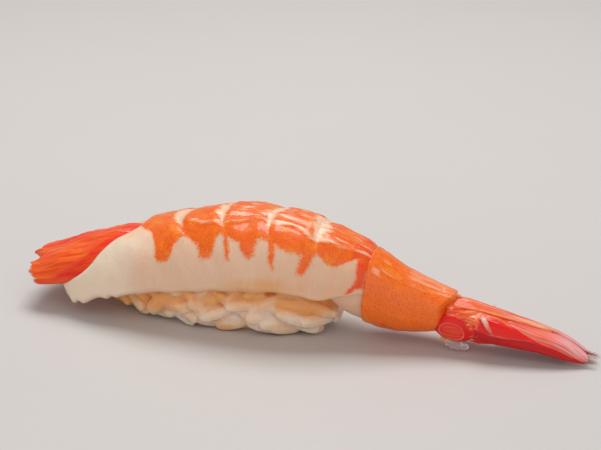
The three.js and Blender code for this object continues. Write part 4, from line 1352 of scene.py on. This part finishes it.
def grain_places(settings):
    """Middles and frames of the grains: rows round the bed at a few heights, spaced evenly along
    the outline, each grain turned at random in the bed's surface and tipped a little out of it."""
    rng = np.random.default_rng(settings.seed)
    size = np.array([settings.grain_length, settings.grain_depth, settings.grain_width]) / MM
    middles, frames = [], []
    for row, (height, inset) in enumerate(RICE_ROWS):
        angle = np.linspace(0, 2 * np.pi, 721)
        x, y = bed_place(angle, bed_share(height))
        reached = np.concatenate([[0], np.cumsum(np.hypot(np.diff(x), np.diff(y)))])
        count = int(reached[-1] / (settings.spacing / MM))
        place = np.arange(count) + 0.5 * (row % 2) + rng.uniform(*GRAIN_ALONG, count)
        distance = np.mod(place / count * reached[-1], reached[-1])
        px, py = np.interp(distance, reached, x), np.interp(distance, reached, y)
        ahead = distance + 0.5
        way = np.stack([np.interp(ahead, reached, x) - px, np.interp(ahead, reached, y) - py], -1)
        way /= np.maximum(np.linalg.norm(way, axis=1, keepdims=True), 1e-9)
        facing = np.stack([way[:, 1], -way[:, 0], np.zeros(count)], -1)
        lean = rng.uniform(*GRAIN_LEAN, count) * (LOW_LEAN if row < LOW_ROWS else 1)
        direction = np.column_stack([way * np.cos(lean)[:, None], np.sin(lean)])
        direction += facing * rng.uniform(*GRAIN_TIP, count)[:, None]
        direction /= np.linalg.norm(direction, axis=1, keepdims=True)
        across = np.cross(direction, facing)
        across /= np.linalg.norm(across, axis=1, keepdims=True)
        outward = np.cross(across, direction)
        scale = size * rng.uniform(*GRAIN_SCALE, (count, 3))
        frame_ = np.stack([direction * scale[:, :1], outward * scale[:, 1:2], across * scale[:, 2:]], -1)
        out = facing * (rng.uniform(*GRAIN_OUT, count) - inset)[:, None]
        middle = np.stack([px, py, height + rng.uniform(*GRAIN_UP, count)], -1) + out
        reach_down = np.linalg.norm(frame_[:, 2, :], axis=1) / 2
        middle[:, 2] = np.maximum(middle[:, 2], reach_down + 0.03)
        room = under_flesh(middle) - 0.7 * reach_down
        at_end = np.abs(middle[:, 0] - RICE_MIDDLE_X) > 0.93 * RICE_HALF_LENGTH
        keep = (middle[:, 2] < room + 0.9) | at_end
        middles.append(middle[keep])
        frames.append(frame_[keep])
    middles, frames = np.concatenate(middles), np.concatenate(frames)
    return middles, frames, rng.uniform(0, 1, len(middles))


# ---------------------------------------------------------------- stage


def photo_view():
    """Camera place and turn: it looks down by the pitch, turned by the azimuth about Z, from the
    distance at which a millimetre at the origin has its size in the image, with the origin at its
    pixel."""
    azimuth, pitch = np.radians(VIEW_AZIMUTH), np.radians(VIEW_PITCH)
    forward = np.array([-np.sin(azimuth) * np.cos(pitch), np.cos(azimuth) * np.cos(pitch), -np.sin(pitch)])
    right = np.array([np.cos(azimuth), np.sin(azimuth), 0])
    up = np.cross(right, forward)
    distance = FOCAL_PIXELS / PIXELS_PER_MM
    off_right = (ORIGIN_PIXEL[0] - IMAGE_MIDDLE[0]) / FOCAL_PIXELS * distance
    off_up = -(ORIGIN_PIXEL[1] - IMAGE_MIDDLE[1]) / FOCAL_PIXELS * distance
    place = -(off_right * right + off_up * up + distance * forward) * MM
    turn = Matrix((right, up, -forward)).transposed().to_4x4()
    return Matrix.Translation(Vector(place)) @ turn


def add_light(name, energy, size, place):
    """A square soft light that looks at the object."""
    light = bpy.data.lights.new(name, "AREA")
    light.energy = energy
    light.size = size
    lamp = bpy.data.objects.new(name, light)
    way = Vector(LIGHT_TARGET) - Vector(place)
    turn = way.to_track_quat("-Z", "Y").to_matrix().to_4x4()
    lamp.matrix_world = Matrix.Translation(Vector(place)) @ turn
    bpy.context.scene.collection.objects.link(lamp)


def build_stage(settings):
    """Plain floor, soft light and the camera."""
    half = settings.floor_size / 2
    mesh = bpy.data.meshes.new("floor")
    corners = [(-half, -half, 0), (half, -half, 0), (half, half, 0), (-half, half, 0)]
    mesh.from_pydata(corners, [], [(0, 1, 2, 3)])
    mesh.materials.append(plain_finish("floor", settings.floor, 60.0, 0.5))
    floor = bpy.data.objects.new("floor", mesh)
    bpy.context.scene.collection.objects.link(floor)

    add_light("key", settings.key_power, **KEY_LIGHT)
    add_light("fill", settings.fill_power, **FILL_LIGHT)
    world = bpy.data.worlds.new("sky")
    world.use_nodes = True
    background = world.node_tree.nodes["Background"]
    background.inputs["Color"].default_value = SKY_COLOUR
    background.inputs["Strength"].default_value = settings.sky_strength
    bpy.context.scene.world = world
    bpy.context.scene.view_settings.view_transform = "Standard"

    camera = bpy.data.cameras.new("camera")
    camera.sensor_width = SENSOR_WIDTH
    camera.lens = FOCAL_PIXELS * SENSOR_WIDTH / IMAGE_WIDTH
    camera.clip_start = 0.01
    viewer = bpy.data.objects.new("camera", camera)
    viewer.matrix_world = photo_view()
    bpy.context.scene.collection.objects.link(viewer)
    bpy.context.scene.camera = viewer


# ---------------------------------------------------------------- add-on


class SHRIMP_OT_flesh(bpy.types.Operator):
    """Adds the opened body"""

    bl_idname = "shrimp.flesh"
    bl_label = "Flesh"
    bl_options = {"REGISTER", "UNDO"}

    def execute(self, context):
        build_flesh(context.scene.shrimp_flesh)
        return {"FINISHED"}


class SHRIMP_OT_flap(bpy.types.Operator):
    """Adds the red flap at the neck"""

    bl_idname = "shrimp.flap"
    bl_label = "Flap"
    bl_options = {"REGISTER", "UNDO"}

    def execute(self, context):
        build_flap(context.scene.shrimp_flesh)
        return {"FINISHED"}


class SHRIMP_OT_segment(bpy.types.Operator):
    """Adds the last segment in its shell"""

    bl_idname = "shrimp.segment"
    bl_label = "Segment"
    bl_options = {"REGISTER", "UNDO"}

    def execute(self, context):
        build_segment(context.scene.shrimp_tail)
        return {"FINISHED"}


class SHRIMP_OT_fan(bpy.types.Operator):
    """Adds the tail fan"""

    bl_idname = "shrimp.fan"
    bl_label = "Fan"
    bl_options = {"REGISTER", "UNDO"}

    def execute(self, context):
        build_fan(context.scene.shrimp_tail)
        return {"FINISHED"}


class SHRIMP_OT_membrane(bpy.types.Operator):
    """Adds the clear shred under the tail"""

    bl_idname = "shrimp.membrane"
    bl_label = "Membrane"
    bl_options = {"REGISTER", "UNDO"}

    def execute(self, context):
        build_membrane(context.scene.shrimp_tail)
        return {"FINISHED"}


class SHRIMP_OT_rice(bpy.types.Operator):
    """Adds the bed of rice"""

    bl_idname = "shrimp.rice"
    bl_label = "Rice"
    bl_options = {"REGISTER", "UNDO"}

    def execute(self, context):
        build_rice(context.scene.shrimp_rice)
        return {"FINISHED"}


class SHRIMP_OT_stage(bpy.types.Operator):
    """Adds the floor, the light and the camera"""

    bl_idname = "shrimp.stage"
    bl_label = "Stage"
    bl_options = {"REGISTER", "UNDO"}

    def execute(self, context):
        build_stage(context.scene.shrimp_stage)
        return {"FINISHED"}


OPERATORS = [
    SHRIMP_OT_flesh,
    SHRIMP_OT_flap,
    SHRIMP_OT_segment,
    SHRIMP_OT_fan,
    SHRIMP_OT_membrane,
    SHRIMP_OT_rice,
    SHRIMP_OT_stage,
]


class SHRIMP_PT_panel(bpy.types.Panel):
    """Lists the operators in the sidebar."""

    bl_label = "Boiled shrimp"
    bl_space_type = "VIEW_3D"
    bl_region_type = "UI"
    bl_category = "Shrimp"

    def draw(self, _context):
        for each in OPERATORS:
            self.layout.operator(each.bl_idname)


SETTINGS = {
    "shrimp_flesh": FleshSettings,
    "shrimp_tail": TailSettings,
    "shrimp_rice": RiceSettings,
    "shrimp_stage": StageSettings,
}


def register():
    for each in [*SETTINGS.values(), *OPERATORS, SHRIMP_PT_panel]:
        bpy.utils.register_class(each)
    for name, group in SETTINGS.items():
        setattr(bpy.types.Scene, name, bpy.props.PointerProperty(type=group))


def unregister():
    for name in SETTINGS:
        delattr(bpy.types.Scene, name)
    for each in [SHRIMP_PT_panel, *OPERATORS, *SETTINGS.values()]:
        bpy.utils.unregister_class(each)


def main():
    register()
    for name in ("flesh", "flap", "segment", "fan", "membrane", "rice", "stage"):
        getattr(bpy.ops.shrimp, name)()


if __name__ == "__main__":
    main()
